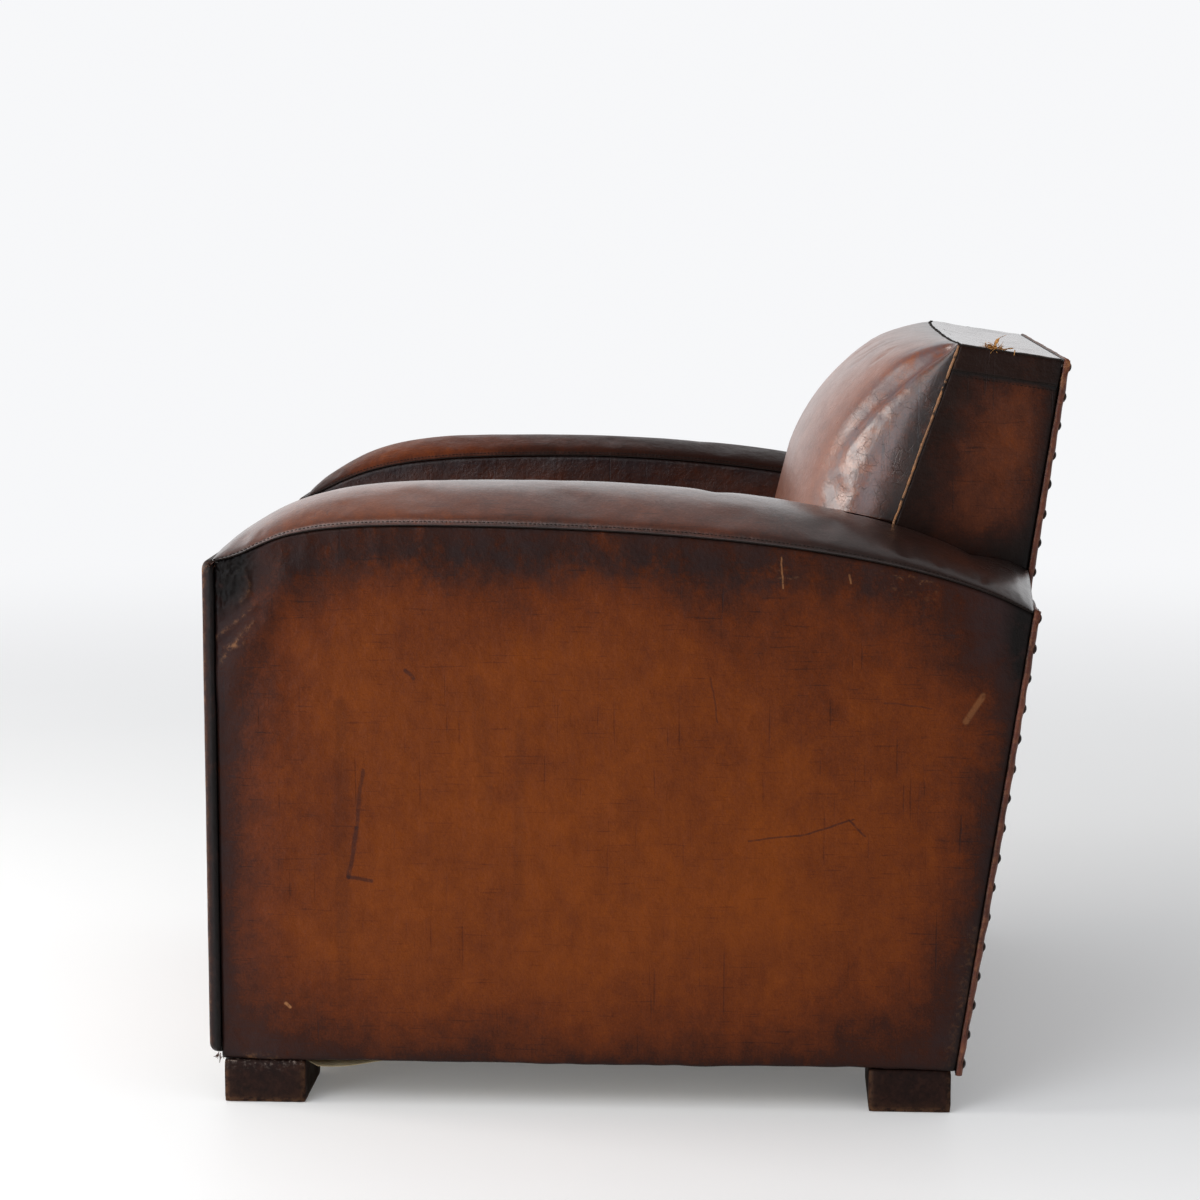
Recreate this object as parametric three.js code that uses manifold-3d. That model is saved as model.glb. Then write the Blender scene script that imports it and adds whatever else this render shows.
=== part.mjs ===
// Worn leather club chair with a square raked back, curved stuffed arms, a sprung seat and block feet.
// Millimetres, +Z up. The chair faces -Y and the sitter's left arm is at +X.
// Heights are measured from the floor, widths from the middle plane and depths from the face of the arms.
import * as THREE from 'three';
import { mergeVertices } from 'three/addons/utils/BufferGeometryUtils.js';
import Module from 'manifold-3d';

const wasm = await Module();
wasm.setup();

// Driving dimensions of the arms
const overallWidth = 800;
const armWidth = 162;
const facingThickness = 12.5;
const facingRounding = 8;
const facingCorner = 12;
const facingBottom = 51;
const sideLength = 752;
const sidePanelThickness = 12;
const innerPanelThickness = 14;
const armBoardThickness = 22;
const armFrontHeight = 562;
const armRearHeight = 514.5;
const outerSeamHeight = 598.6;
const outerSeamPeak = 202;
const innerSeamHeight = 616.6;
const innerSeamPeak = 328;
const armCrown = 22;
const armCrownFront = 180;
const armCrownRear = 330;
const seamEdge = 3;

// Driving dimensions of the back
const shoulderWidth = 125;
const backHeight = 722;
const backRake = THREE.MathUtils.degToRad(8.5);
const backTaper = THREE.MathUtils.degToRad(10.7);
const backTopDepth = 107;
const backSideThickness = 8;
const backTopThickness = 8;
const outsideBackThickness = 4;
const outsideBackDrop = 4;
const shoulderOverlap = 2;
const foldWidth = 15;
const foldThickness = 1.2;
const pillowDepth = 120;
const pillowCrownHeight = 151;
const pillowFootHeight = 60;
const pillowSlim = 0.1;
const pillowRoundness = 2.7;
const coverThickness = 4;

// Driving dimensions of the frame and the feet
const coverBottom = 45;
const railBottom = 50;
const railHeight = 100;
const railThickness = 28;
const postDepth = 30;
const rearPostWidth = 48;
const uprightWidth = 40;
const uprightDepth = 56;
const topRailHeight = 44;
const tackRailHeight = 48;
const tackRailDepth = 30;
const armTackRailThickness = 25;
const armTackRailHeight = 40;
const armTackRailBottom = 180;
const cornerBlockLeg = 55;
const cornerBlockHeight = 70;
const footWidth = 112;
const footLength = 84;
const footInset = 3;
const footSetback = 3;
const rearFootSetback = 4;
const footChamfer = 2.5;

// Driving dimensions of the seat
const deckTop = 296;
const deckThickness = 40;
const cushionThickness = 135;
const cushionCrown = 16;
const cushionRadius = 26;
const cushionCorner = 30;
const cushionCornerLoss = 0.8;
const cushionSideClearance = 2;
const cushionOverhang = 3;
const cushionRearClearance = 6;
const borderThickness = 8;
const hessianThickness = 2;
const dustCoverThickness = 1.5;
const dustCoverMargin = 14;
const footRoom = 1;

// Driving dimensions of the webbing, springs and nails
const strapWidth = 60;
const strapThickness = 2;
const strapBite = 0.4;
const strapBend = 4;
const seatStraps = 5;
const seatStrapPitchX = 75;
const seatStrapPitchY = 100;
const backStraps = 5;
const backStrapPitchX = 80;
const seatSprings = 3;
const seatSpringWire = 4;
const seatSpringWidth = 84;
const seatSpringWaist = 54;
const seatSpringTurns = 5;
const backSprings = 2;
const backSpringWire = 3;
const backSpringWidth = 78;
const backSpringWaist = 60;
const backSpringTurns = 3;
const nailWidth = 10;
const nailHeight = 3;
const nailPitch = 31.5;
const nailInset = 7;
const nailSides = 6;

// Clearances
const gap = 0.3;
const cutClearance = 0.5;

// Places worked out from the driving dimensions
const halfWidth = overallWidth / 2;
const armInner = halfWidth - armWidth;
const boardOuter = halfWidth - sidePanelThickness - gap;
const boardInner = armInner + innerPanelThickness + gap;
const sideFront = facingThickness + gap;
const backFoot = sideFront + sideLength;
const outerSeamPeakY = sideFront + outerSeamPeak;
const innerSeamPeakY = sideFront + innerSeamPeak;
const halfBack = halfWidth - shoulderWidth;
const railTop = railBottom + railHeight;
const uprightOuter = halfBack - backSideThickness - gap;
const uprightInner = uprightOuter - uprightWidth;
const webThickness = 2 * strapThickness - strapBite;
const uprightRear = -(webThickness + 2 * gap);
const uprightFront = uprightRear - uprightDepth;
const backInnerTop = backHeight - backTopThickness - gap;
const deckBottom = deckTop - deckThickness;
const seatHalf = armInner - gap;
const borderFront = facingThickness - borderThickness;
const backWebLow = upTheRake(deckBottom, uprightFront) + tackRailHeight / 2;
const backWebHigh = backInnerTop - topRailHeight / 4;
const backWebMiddle = (backWebLow + backWebHigh) / 2;
const backStrapPitchW = (backWebHigh - backWebLow) / backStraps;
const footX = halfWidth - footInset - footWidth;
const seatMiddle = (sideFront + railThickness + depthOnRake(railTop, uprightFront)) / 2;

// Depth of the raked plane that lies v behind the back plane, at a height
function depthOnRake(height, v) {
  return backFoot + (height - coverBottom) * Math.tan(backRake) + v / Math.cos(backRake);
}

// Place up the rake, w, of the point that lies v behind the back plane, at a height
function upTheRake(height, v) {
  return (height - coverBottom + v * Math.sin(backRake)) / Math.cos(backRake);
}

// How far the front edge of the back's sides stands before the back plane, at w up the rake
function backDepthAt(w) {
  return -(backTopDepth + (backHeight - w) * Math.tan(backTaper));
}

// Frame of the back: x across, y behind the back plane and z up the rake
const backFrame = new THREE.Matrix4()
  .makeTranslation(0, backFoot, coverBottom)
  .multiply(new THREE.Matrix4().makeRotationX(-backRake));

// Makes the faces of a closed geometry point outward
function outward(geometry) {
  const position = geometry.attributes.position;
  const index = geometry.index.array;
  const corner = [new THREE.Vector3(), new THREE.Vector3(), new THREE.Vector3()];
  let volume = 0;
  for (let i = 0; i < index.length; i += 3) {
    corner.forEach((c, k) => c.fromBufferAttribute(position, index[i + k]));
    volume += corner[0].dot(corner[1].clone().cross(corner[2]));
  }
  if (volume < 0) {
    for (let i = 0; i < index.length; i += 3) {
      [index[i], index[i + 1]] = [index[i + 1], index[i]];
    }
  }
  return geometry;
}

// Merges the shared corners of a geometry and leaves only positions
function weld(geometry) {
  const reach = 1e-4;
  geometry.deleteAttribute('normal');
  geometry.deleteAttribute('uv');
  return mergeVertices(geometry, reach);
}

// The mirror image of a geometry in the chair's middle plane
function mirrored(geometry) {
  const copy = geometry.clone();
  copy.scale(-1, 1, 1);
  return outward(copy.index ? copy : weld(copy));
}

// A closed body through rings of points, capped at both ends. The rings run anticlockwise in the plane of
// the caps. flip turns the diagonals of the quads between them
function loft(rings, capPlane, flip = false) {
  const count = rings[0].length;
  const triangles = [];
  for (let r = 0; r + 1 < rings.length; r += 1) {
    for (let i = 0; i < count; i += 1) {
      const a = r * count + i;
      const b = r * count + ((i + 1) % count);
      const c = a + count;
      const d = b + count;
      triangles.push(...(flip ? [a, b, c, b, d, c] : [a, b, d, a, d, c]));
    }
  }
  const capOf = (ring) => {
    const flat = ring.map((p) => new THREE.Vector2(p[capPlane[0]], p[capPlane[1]]));
    return THREE.ShapeUtils.triangulateShape(flat, []);
  };
  const last = (rings.length - 1) * count;
  capOf(rings[0]).forEach(([p, q, s]) => triangles.push(q, p, s));
  capOf(rings[rings.length - 1]).forEach(([p, q, s]) => triangles.push(last + p, last + q, last + s));
  const geometry = new THREE.BufferGeometry();
  const vertices = rings.flat().flatMap((p) => [p.x, p.y, p.z]);
  geometry.setAttribute('position', new THREE.Float32BufferAttribute(vertices, 3));
  geometry.setIndex(triangles);
  return outward(geometry);
}

// A flat outline given thickness along X, Y or Z. Its points are (y, z), (x, z) or (x, y)
function slab(points, axis, from, to, hole) {
  const shape = new THREE.Shape(points.map(([a, b]) => new THREE.Vector2(a, b)));
  if (hole) {
    shape.holes.push(new THREE.Path(hole.map(([a, b]) => new THREE.Vector2(a, b))));
  }
  const geometry = new THREE.ExtrudeGeometry(shape, { depth: to - from, bevelEnabled: false });
  const x = new THREE.Vector3(1, 0, 0);
  const y = new THREE.Vector3(0, 1, 0);
  const z = new THREE.Vector3(0, 0, 1);
  const turn = new THREE.Matrix4();
  if (axis === 'x') {
    turn.makeBasis(y, z, x).setPosition(from, 0, 0);
  } else if (axis === 'y') {
    turn.makeBasis(x, z, y.negate()).setPosition(0, to, 0);
  } else {
    turn.setPosition(0, 0, from);
  }
  geometry.applyMatrix4(turn);
  return weld(geometry);
}

// A box from its lowest to its highest corner
function block(low, high) {
  const outline = [[low[0], low[1]], [high[0], low[1]], [high[0], high[1]], [low[0], high[1]]];
  return slab(outline, 'z', low[2], high[2]);
}

// A closed geometry as a solid that can be cut and joined
function solid(geometry) {
  const vertProperties = new Float32Array(geometry.attributes.position.array);
  const triVerts = new Uint32Array(geometry.index.array);
  return new wasm.Manifold(new wasm.Mesh({ numProp: 3, vertProperties, triVerts }));
}

// A solid as a geometry again
function geometryOf(body) {
  const mesh = body.getMesh();
  const geometry = new THREE.BufferGeometry();
  geometry.setAttribute('position', new THREE.BufferAttribute(Float32Array.from(mesh.vertProperties), 3));
  geometry.setIndex(Array.from(mesh.triVerts));
  return geometry;
}

function cut(geometry, ...tools) {
  return geometryOf(tools.reduce((body, tool) => body.subtract(solid(tool)), solid(geometry)));
}

function common(a, b) {
  return geometryOf(solid(a).intersect(solid(b)));
}

function joined(...geometries) {
  return geometryOf(geometries.map(solid).reduce((body, other) => body.add(other)));
}

// Points of a rectangle with round corners, with the same number of points whatever its size
function roundedRectangle(x0, x1, y0, y1, radius, steps) {
  const corners = [
    [x1 - radius, y1 - radius, 0],
    [x0 + radius, y1 - radius, 1],
    [x0 + radius, y0 + radius, 2],
    [x1 - radius, y0 + radius, 3],
  ];
  return corners.flatMap(([x, y, quarter]) => Array.from({ length: steps + 1 }, (_, i) => {
    const angle = (quarter + i / steps) * Math.PI / 2;
    return [x + radius * Math.cos(angle), y + radius * Math.sin(angle)];
  }));
}

// Rise of a quarter ellipse: 0 at its foot and 1 from its crown on
function quarterRound(share) {
  const s = Math.min(Math.max(share, 0), 1);
  return Math.sqrt(1 - (1 - s) ** 2);
}

// Points taken on the climbing part of an arm seam
const seamPoints = 120;

// Side view of an arm seam: it climbs from the facing to its peak and falls away to the back.
// The pulls place the handles of its two curves as shares of the climb and the fall
function seamLine(peakY, peakZ, frontPull, peakPull, rearPull) {
  const rearY = depthOnRake(armRearHeight, 0);
  const climb = peakY - sideFront;
  const rise = peakZ - armFrontHeight;
  const fall = rearY - peakY;
  const drop = peakZ - armRearHeight;
  const front = new THREE.CubicBezierCurve(
    new THREE.Vector2(sideFront, armFrontHeight),
    new THREE.Vector2(sideFront + frontPull[0] * climb, armFrontHeight + frontPull[1] * rise),
    new THREE.Vector2(peakY - frontPull[2] * climb, peakZ),
    new THREE.Vector2(peakY, peakZ),
  );
  const rear = new THREE.CubicBezierCurve(
    new THREE.Vector2(peakY, peakZ),
    new THREE.Vector2(peakY + peakPull * fall, peakZ),
    new THREE.Vector2(rearY - rearPull[0] * fall, armRearHeight + rearPull[1] * drop),
    new THREE.Vector2(rearY, armRearHeight),
  );
  return front.getPoints(seamPoints).concat(rear.getPoints(2 * seamPoints).slice(1));
}

// Height of a line of points at a depth
function heightAt(line, y) {
  const next = line.findIndex((p) => p.x >= y);
  if (next < 1) {
    return next < 0 ? line[line.length - 1].y : line[0].y;
  }
  const a = line[next - 1];
  const b = line[next];
  return a.y + (b.y - a.y) * (y - a.x) / (b.x - a.x);
}

const outerSeam = seamLine(outerSeamPeakY, outerSeamHeight, [0.29, 0.22, 0.82], 0.38, [0.2, 0.8]);
const innerSeam = seamLine(innerSeamPeakY, innerSeamHeight, [0.21, 0.65, 0.7], 0.34, [0.16, 0.69]);

// Stations along an arm, closer together at its two ends
const armStationCount = 22;
const armStationPull = 0.11;
const stationReach = 0.01;
const armRear = depthOnRake(armRearHeight, -gap);
const armStations = Array.from({ length: armStationCount + 1 }, (_, i) => {
  const t = i / armStationCount;
  return sideFront + (armRear - sideFront) * (t - armStationPull * Math.sin(2 * Math.PI * t));
});
const outerHeights = armStations.map((y) => new THREE.Vector2(y, heightAt(outerSeam, y)));
const innerHeights = armStations.map((y) => new THREE.Vector2(y, heightAt(innerSeam, y)));

// Height of the plane ruled between an arm's two seams
function seamPlane(x, y) {
  const share = (halfWidth - x) / armWidth;
  return THREE.MathUtils.lerp(heightAt(outerHeights, y), heightAt(innerHeights, y), share);
}

function isRear(y) {
  return y > armRear - stationReach;
}

// The stations between two depths, with the two depths themselves
function stationsBetween(from, to) {
  return [from, ...armStations.filter((y) => y > from + stationReach && y < to - stationReach), to];
}

// A body along the arm between two widths. top and bottom give heights, and the rear end of the arm lies in
// the raked plane
function armBody(outer, inner, from, to, bottom, top, flip = false) {
  const rings = stationsBetween(from, to).map((y) => {
    const corner = (x, height) => {
      const z = height(x, y);
      const depth = isRear(y) ? depthOnRake(z, -gap) : y;
      return new THREE.Vector3(x, depth, z);
    };
    return [corner(outer, top), corner(inner, top), corner(inner, bottom), corner(outer, bottom)];
  });
  return loft(rings, ['x', 'z'], flip);
}

// Shares of the arm's width where the crowned top has its points, closer together at the seams
const crownSteps = 8;
const crownShares = Array.from({ length: crownSteps + 1 }, (_, i) => {
  const angle = Math.PI * i / crownSteps;
  return (1 - Math.cos(angle)) / 2;
});

// Height of the stuffed top of an arm at a share of its width, from the outer seam inward
function crownHeight(share, y) {
  const nose = quarterRound((y - sideFront) / armCrownFront);
  const tail = quarterRound((armRear - y) / armCrownRear);
  const bump = Math.sqrt(Math.max(0, 1 - (1 - 2 * share) ** 2));
  return seamPlane(halfWidth - share * armWidth, y) + seamEdge + armCrown * nose * tail * bump;
}

// The stuffed band over an arm, or the room that it takes up when grow is more than 0
function armTop(grow, bottom) {
  const rings = armStations.map((y) => {
    const place = (x, z) => new THREE.Vector3(x, isRear(y) ? depthOnRake(z, -gap + grow) : y, z);
    const crown = crownShares.map((share) => {
      const x = halfWidth + grow - share * (armWidth + 2 * grow);
      return place(x, crownHeight(share, y) + grow);
    });
    const under = [armInner - grow, boardInner, boardOuter, halfWidth + grow];
    return [...crown, ...under.map((x) => place(x, bottom(x, y)))];
  });
  return loft(rings, ['x', 'z']);
}

// The room that the back takes up between its side panels
function backRoom() {
  const margin = 60;
  const low = upTheRake(armTackRailBottom, 0);
  const high = backHeight + margin;
  const front = [[backDepthAt(high) - gap, high], [backDepthAt(low) - gap, low]];
  const outline = [...front, [margin, low], [margin, high]];
  const geometry = slab(outline, 'x', -halfBack - gap, halfBack + gap);
  return geometry.applyMatrix4(backFrame);
}

// A raked piece of the frame: its front and rear lie at two depths from the back plane
function rakedBar(x0, x1, front, rear, bottom, top) {
  const outline = [
    [depthOnRake(bottom, front), bottom],
    [depthOnRake(bottom, rear), bottom],
    [depthOnRake(top, rear), top],
    [depthOnRake(top, front), top],
  ];
  return slab(outline, 'x', x0, x1);
}

// Arm covers
function armTopBand() {
  return cut(armTop(0, seamPlane), backRoom());
}

function outsideArm() {
  const top = outerHeights.map((p) => [p.x, p.y - gap]);
  top[top.length - 1][0] = depthOnRake(top[top.length - 1][1], 0);
  const outline = [[sideFront, coverBottom], [backFoot, coverBottom], ...top.reverse()];
  return slab(outline, 'x', halfWidth - sidePanelThickness, halfWidth);
}

function insideArm() {
  const rear = uprightFront - gap;
  const topAt = (y) => seamPlane(boardInner, y) - gap;
  const rearTop = depthOnRake(topAt(armRear), rear);
  const meet = (y) => depthOnRake(topAt(y), rear) - y;
  const end = stationsBetween(sideFront, armRear).find((y) => meet(y) < 0) ?? rearTop;
  const before = armStations[armStations.indexOf(end) - 1];
  const rearY = before + (end - before) * meet(before) / (meet(before) - meet(end));
  const top = stationsBetween(sideFront, rearY).map((y) => [y, topAt(y)]).reverse();
  const low = armTackRailBottom;
  const outline = [[sideFront, low], [depthOnRake(low, rear), low], ...top];
  return slab(outline, 'x', armInner, armInner + innerPanelThickness);
}

function armFacing() {
  const steps = 5;
  const profile = [[facingThickness, 0], [facingRounding, 0]];
  const rounds = 3;
  for (let i = 1; i <= rounds; i += 1) {
    const angle = i / rounds * Math.PI / 2;
    profile.push([facingRounding * (1 - Math.sin(angle)), facingRounding * (1 - Math.cos(angle))]);
  }
  const rings = profile.map(([y, inset]) => {
    const width = [armInner + inset, halfWidth - inset];
    const height = [facingBottom + inset, armFrontHeight - inset];
    const ring = roundedRectangle(...width, ...height, facingCorner, steps);
    return ring.map(([x, z]) => new THREE.Vector3(x, y, z));
  });
  return loft(rings, ['x', 'z']);
}

// Wooden frame of one side
function armBoard() {
  const top = (x, y) => seamPlane(x, y) - gap;
  const bottom = (x, y) => seamPlane(x, y) - gap - armBoardThickness;
  return cut(armBody(boardOuter, boardInner, sideFront, armRear, bottom, top, true), backRoom());
}

function frontPost() {
  const top = (x, y) => seamPlane(x, y) - armBoardThickness - 2 * gap;
  const bottom = () => railTop + gap;
  return armBody(boardOuter, boardInner, sideFront, sideFront + postDepth, bottom, top);
}

function rearPost() {
  const inner = boardOuter - rearPostWidth;
  const post = rakedBar(inner, boardOuter, -gap - postDepth, -2 * gap, railTop + gap, armRearHeight);
  const under = (x, y) => seamPlane(x, y) - armBoardThickness - 2 * gap;
  const over = (x, y) => seamPlane(x, y) + armBoardThickness;
  return cut(post, armBody(boardOuter + gap, boardInner, sideFront, armRear, under, over, true));
}

function upright() {
  const outline = [
    [uprightFront, upTheRake(railTop + gap, uprightFront)],
    [uprightRear, upTheRake(railTop + gap, uprightRear)],
    [uprightRear, backInnerTop],
    [uprightFront, backInnerTop],
  ];
  return slab(outline, 'x', uprightInner, uprightOuter);
}

function sideRail() {
  const outline = [
    [sideFront, railBottom],
    [depthOnRake(railBottom, -gap), railBottom],
    [depthOnRake(railTop, -gap), railTop],
    [sideFront, railTop],
  ];
  return slab(outline, 'x', boardOuter - railThickness, boardOuter);
}

function armTackRail() {
  const bottom = armTackRailBottom;
  const top = bottom + armTackRailHeight;
  const front = sideFront + postDepth + gap;
  const outline = [
    [front, bottom],
    [depthOnRake(bottom, uprightFront - gap), bottom],
    [depthOnRake(top, uprightFront - gap), top],
    [front, top],
  ];
  return slab(outline, 'x', boardInner, boardInner + armTackRailThickness);
}

// A block foot with chamfered lower edges. Its top is rebated for the turned-in edge of the leather
function foot() {
  const shoulder = boardOuter - footX;
  const top = railBottom - gap;
  const rebate = coverBottom - gap;
  const chamfer = footChamfer;
  const bottom = (length) => [[0, chamfer], [chamfer, 0], [length - chamfer, 0], [length, chamfer]];
  const across = [...bottom(footWidth), [footWidth, rebate], [shoulder, rebate], [shoulder, top], [0, top]];
  const along = [...bottom(footLength), [footLength, top], [0, top]];
  return common(slab(across, 'y', 0, footLength), slab(along, 'x', 0, footWidth)).translate(footX, 0, 0);
}

// Wooden frame across the chair
const railInner = boardOuter - railThickness - gap;

function frontRail() {
  return block([-railInner, sideFront, railBottom], [railInner, sideFront + railThickness, railTop]);
}

function rearRail() {
  return rakedBar(-railInner, railInner, -gap - postDepth, -gap, railBottom, railTop);
}

// A glue block in a corner of the base frame; at the rear it is cut to the raked rail
function cornerBlock(rear) {
  const x = railInner - gap;
  const inward = x - cornerBlockLeg;
  const top = railBottom + cornerBlockHeight;
  if (!rear) {
    const y = sideFront + railThickness + gap;
    return slab([[x, y], [x, y + cornerBlockLeg], [inward, y]], 'z', railBottom, top);
  }
  const front = -2 * gap - postDepth;
  const y = depthOnRake(top, front);
  const wedge = slab([[x, y - cornerBlockLeg], [x, y], [inward, y]], 'z', railBottom, top);
  return cut(wedge, rakedBar(inward - gap, x + gap, front, front + postDepth, railBottom - gap, top + gap));
}

function topRail() {
  const half = uprightInner - gap;
  return block([-half, uprightFront, backInnerTop - topRailHeight], [half, uprightRear, backInnerTop]);
}

function backTackRail() {
  const half = uprightInner - gap;
  const low = upTheRake(deckBottom, uprightFront);
  return block([-half, uprightFront, low], [half, uprightFront + tackRailDepth, low + tackRailHeight]);
}

// Straps woven over and under each other and drawn tight, as one net in the plane z = 0
function wovenStraps(spanU, spanV, places, crossings) {
  const lift = (strapThickness - strapBite) / 2;
  const half = strapWidth / 2 + strapBend;
  const strap = (span, stops, first) => {
    const line = [[span[0], lift]];
    stops.forEach((stop, i) => {
      const level = (i + first) % 2 ? -lift : lift;
      line.push([stop - half, level], [stop + half, level]);
    });
    line.push([span[1], lift]);
    const top = line.map(([s, z]) => [s, z + strapThickness / 2]);
    const bottom = line.map(([s, z]) => [s, z - strapThickness / 2]).reverse();
    return [...bottom.reverse(), ...top.reverse()];
  };
  const along = places.map((v, i) => {
    const outline = strap(spanU, crossings, i % 2);
    return slab(outline, 'y', v - strapWidth / 2, v + strapWidth / 2);
  });
  const across = crossings.map((u, i) => {
    const outline = strap(spanV, places, (i + 1) % 2);
    return slab(outline, 'x', u - strapWidth / 2, u + strapWidth / 2);
  });
  return joined(...along, ...across);
}

// Places of a row of like things about a middle
function row(count, pitch, middle = 0) {
  return Array.from({ length: count }, (_, i) => middle + (i - (count - 1) / 2) * pitch);
}

function seatWebbing() {
  const spanX = boardOuter - railThickness / 4;
  const spanY = [sideFront + railThickness / 4, depthOnRake(railBottom, -gap - postDepth / 4)];
  const places = row(seatStraps, seatStrapPitchY, seatMiddle);
  const crossings = row(seatStraps, seatStrapPitchX);
  const net = wovenStraps([-spanX, spanX], spanY, places, crossings);
  return net.translate(0, 0, railBottom - gap - webThickness / 2);
}

function backWebbing() {
  const half = uprightOuter - uprightWidth / 4;
  const reach = (backWebHigh - backWebLow) / 2;
  const places = row(backStraps, backStrapPitchW);
  const crossings = row(backStraps, backStrapPitchX);
  const net = wovenStraps([-half, half], [-reach, reach], places, crossings);
  net.rotateX(Math.PI / 2);
  return net.translate(0, uprightRear + gap + webThickness / 2, backWebMiddle);
}

// Faces round a spring's wire, steps in each turn, how steeply it widens and how much the end turns close up
const wireSides = 5;
const springSteps = 8;
const springFlare = 1.5;
const springClosing = 0.8;

// Centre line of an hourglass spring: wide end coils, a narrow waist and a closer pitch at both ends
class SpringLine extends THREE.Curve {
  constructor(width, waist, height, turns) {
    super();
    Object.assign(this, { width, waist, height, turns });
  }

  getPoint(t, target = new THREE.Vector3()) {
    const angle = 2 * Math.PI * this.turns * t;
    const radius = (this.waist + (this.width - this.waist) * Math.abs(2 * t - 1) ** springFlare) / 2;
    const rise = t - springClosing * Math.sin(2 * Math.PI * t) / (2 * Math.PI);
    return target.set(radius * Math.cos(angle), radius * Math.sin(angle), this.height * rise);
  }
}

// A coil spring that stands on z = 0 and fills a height
function spring(width, waist, wire, turns, height) {
  const section = new THREE.Shape(Array.from({ length: wireSides }, (_, i) => {
    const angle = 2 * Math.PI * i / wireSides;
    return new THREE.Vector2(wire / 2 * Math.cos(angle), wire / 2 * Math.sin(angle));
  }));
  const line = new SpringLine(width - wire, waist - wire, height - wire, turns);
  const options = { steps: turns * springSteps, extrudePath: line, bevelEnabled: false };
  const geometry = new THREE.ExtrudeGeometry(section, options);
  return weld(geometry.translate(0, 0, wire / 2));
}

// Seat
function seatHessian() {
  const top = deckBottom - gap;
  const rear = depthOnRake(top - hessianThickness, uprightFront - gap);
  return block([-seatHalf, sideFront, top - hessianThickness], [seatHalf, rear, top]);
}

function seatDeck() {
  const rear = depthOnRake(deckBottom, uprightFront - gap);
  return block([-seatHalf, sideFront, deckBottom], [seatHalf, rear, deckTop]);
}

function frontBorder() {
  return block([-seatHalf, borderFront, coverBottom], [seatHalf, facingThickness, deckTop]);
}

function seatCushion() {
  const half = armInner - cushionSideClearance;
  const bottom = deckTop + gap;
  const top = bottom + cushionThickness;
  const front = borderFront - cushionOverhang;
  const rear = insideBackFront(bottom + pillowFootHeight) - cushionRearClearance;
  const rounds = 4;
  const profile = [];
  for (let i = 0; i <= rounds; i += 1) {
    const angle = i / rounds * Math.PI / 2;
    profile.push([cushionRadius * (1 - Math.sin(angle)), bottom + cushionRadius * (1 - Math.cos(angle))]);
  }
  for (let i = 0; i <= rounds; i += 1) {
    const angle = i / rounds * Math.PI / 2;
    profile.push([cushionRadius * (1 - Math.cos(angle)), top - cushionRadius * (1 - Math.sin(angle))]);
  }
  for (let i = 1; i <= rounds; i += 1) {
    const share = i / (rounds + 0.5);
    const inset = THREE.MathUtils.lerp(cushionRadius, half, share);
    profile.push([inset, top + cushionCrown * (1 - (1 - share) ** 2)]);
  }
  const rings = profile.map(([inset, z]) => {
    const corner = cushionCorner * (1 - cushionCornerLoss * inset / half);
    const along = inset * (rear - front) / (2 * half);
    const depth = inset > cushionRadius ? Math.max(along, cushionRadius) : inset;
    const outline = roundedRectangle(inset - half, half - inset, front + depth, rear - depth, corner, rounds);
    return outline.map(([x, y]) => new THREE.Vector3(x, y, z));
  });
  return loft(rings, ['x', 'y']);
}

// Back covers and stuffing, in the frame of the back
function pillowThickness(x, w) {
  const top = Math.min(1, Math.max(0, (w - (backHeight - pillowCrownHeight)) / pillowCrownHeight));
  const slim = pillowSlim * Math.max(0, backHeight - pillowCrownHeight - w);
  const across = (1 - Math.min(1, Math.abs(x) / halfBack) ** pillowRoundness) ** (1 / pillowRoundness);
  return (pillowDepth - slim) * Math.sqrt(1 - top ** 2) * across;
}

// Depth of the face of the inside back on the middle plane, at a height
function insideBackFront(height) {
  let v = -backTopDepth;
  const passes = 8;
  for (let i = 0; i < passes; i += 1) {
    const w = upTheRake(height, v);
    v = backDepthAt(w) - gap - coverThickness - pillowThickness(0, w);
  }
  return depthOnRake(height, v);
}

// Lowest place of the crowned inside back: it stands on the deck
const pillowFoot = (() => {
  const taper = Math.tan(backTaper);
  const rise = deckTop + gap - coverBottom - Math.sin(backRake) * (backTopDepth + backHeight * taper);
  return rise / (Math.cos(backRake) - taper * Math.sin(backRake));
})();

function insideBack() {
  const rows = 18;
  const columns = 14;
  const rowPull = 0.09;
  const rings = Array.from({ length: rows + 1 }, (_, j) => {
    const s = j / rows;
    const w = pillowFoot + (backHeight - pillowFoot) * (s + rowPull * Math.sin(2 * Math.PI * s) * (s - 1));
    const foot = quarterRound((w - pillowFoot) / pillowFootHeight);
    const seat = backDepthAt(w) - gap;
    const front = Array.from({ length: columns + 1 }, (_, i) => {
      const x = halfBack * Math.sin(Math.PI / 2 * (2 * i / columns - 1));
      return new THREE.Vector3(x, seat - coverThickness - foot * pillowThickness(x, w), w);
    });
    return [new THREE.Vector3(-halfBack, seat, w), ...front, new THREE.Vector3(halfBack, seat, w)];
  });
  const toBack = backFrame.clone().invert();
  const armRoom = armTop(cutClearance, () => armTackRailBottom).applyMatrix4(toBack);
  return cut(loft(rings, ['x', 'y']), armRoom, mirrored(armRoom));
}

function backStuffing() {
  const rear = uprightFront - 2 * gap - hessianThickness;
  const shoulder = backHeight - pillowCrownHeight - coverThickness;
  const foot = [[backDepthAt(pillowFoot), pillowFoot], [rear, upTheRake(deckTop + gap, rear)]];
  const head = [[rear, backInnerTop], [backDepthAt(backInnerTop), backInnerTop]];
  const low = slab([...foot, ...head], 'x', -seatHalf, seatHalf);
  const wide = [[backDepthAt(shoulder), shoulder], [rear, shoulder], ...head];
  const high = slab(wide, 'x', -uprightOuter, uprightOuter);
  return joined(low, high);
}

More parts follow.
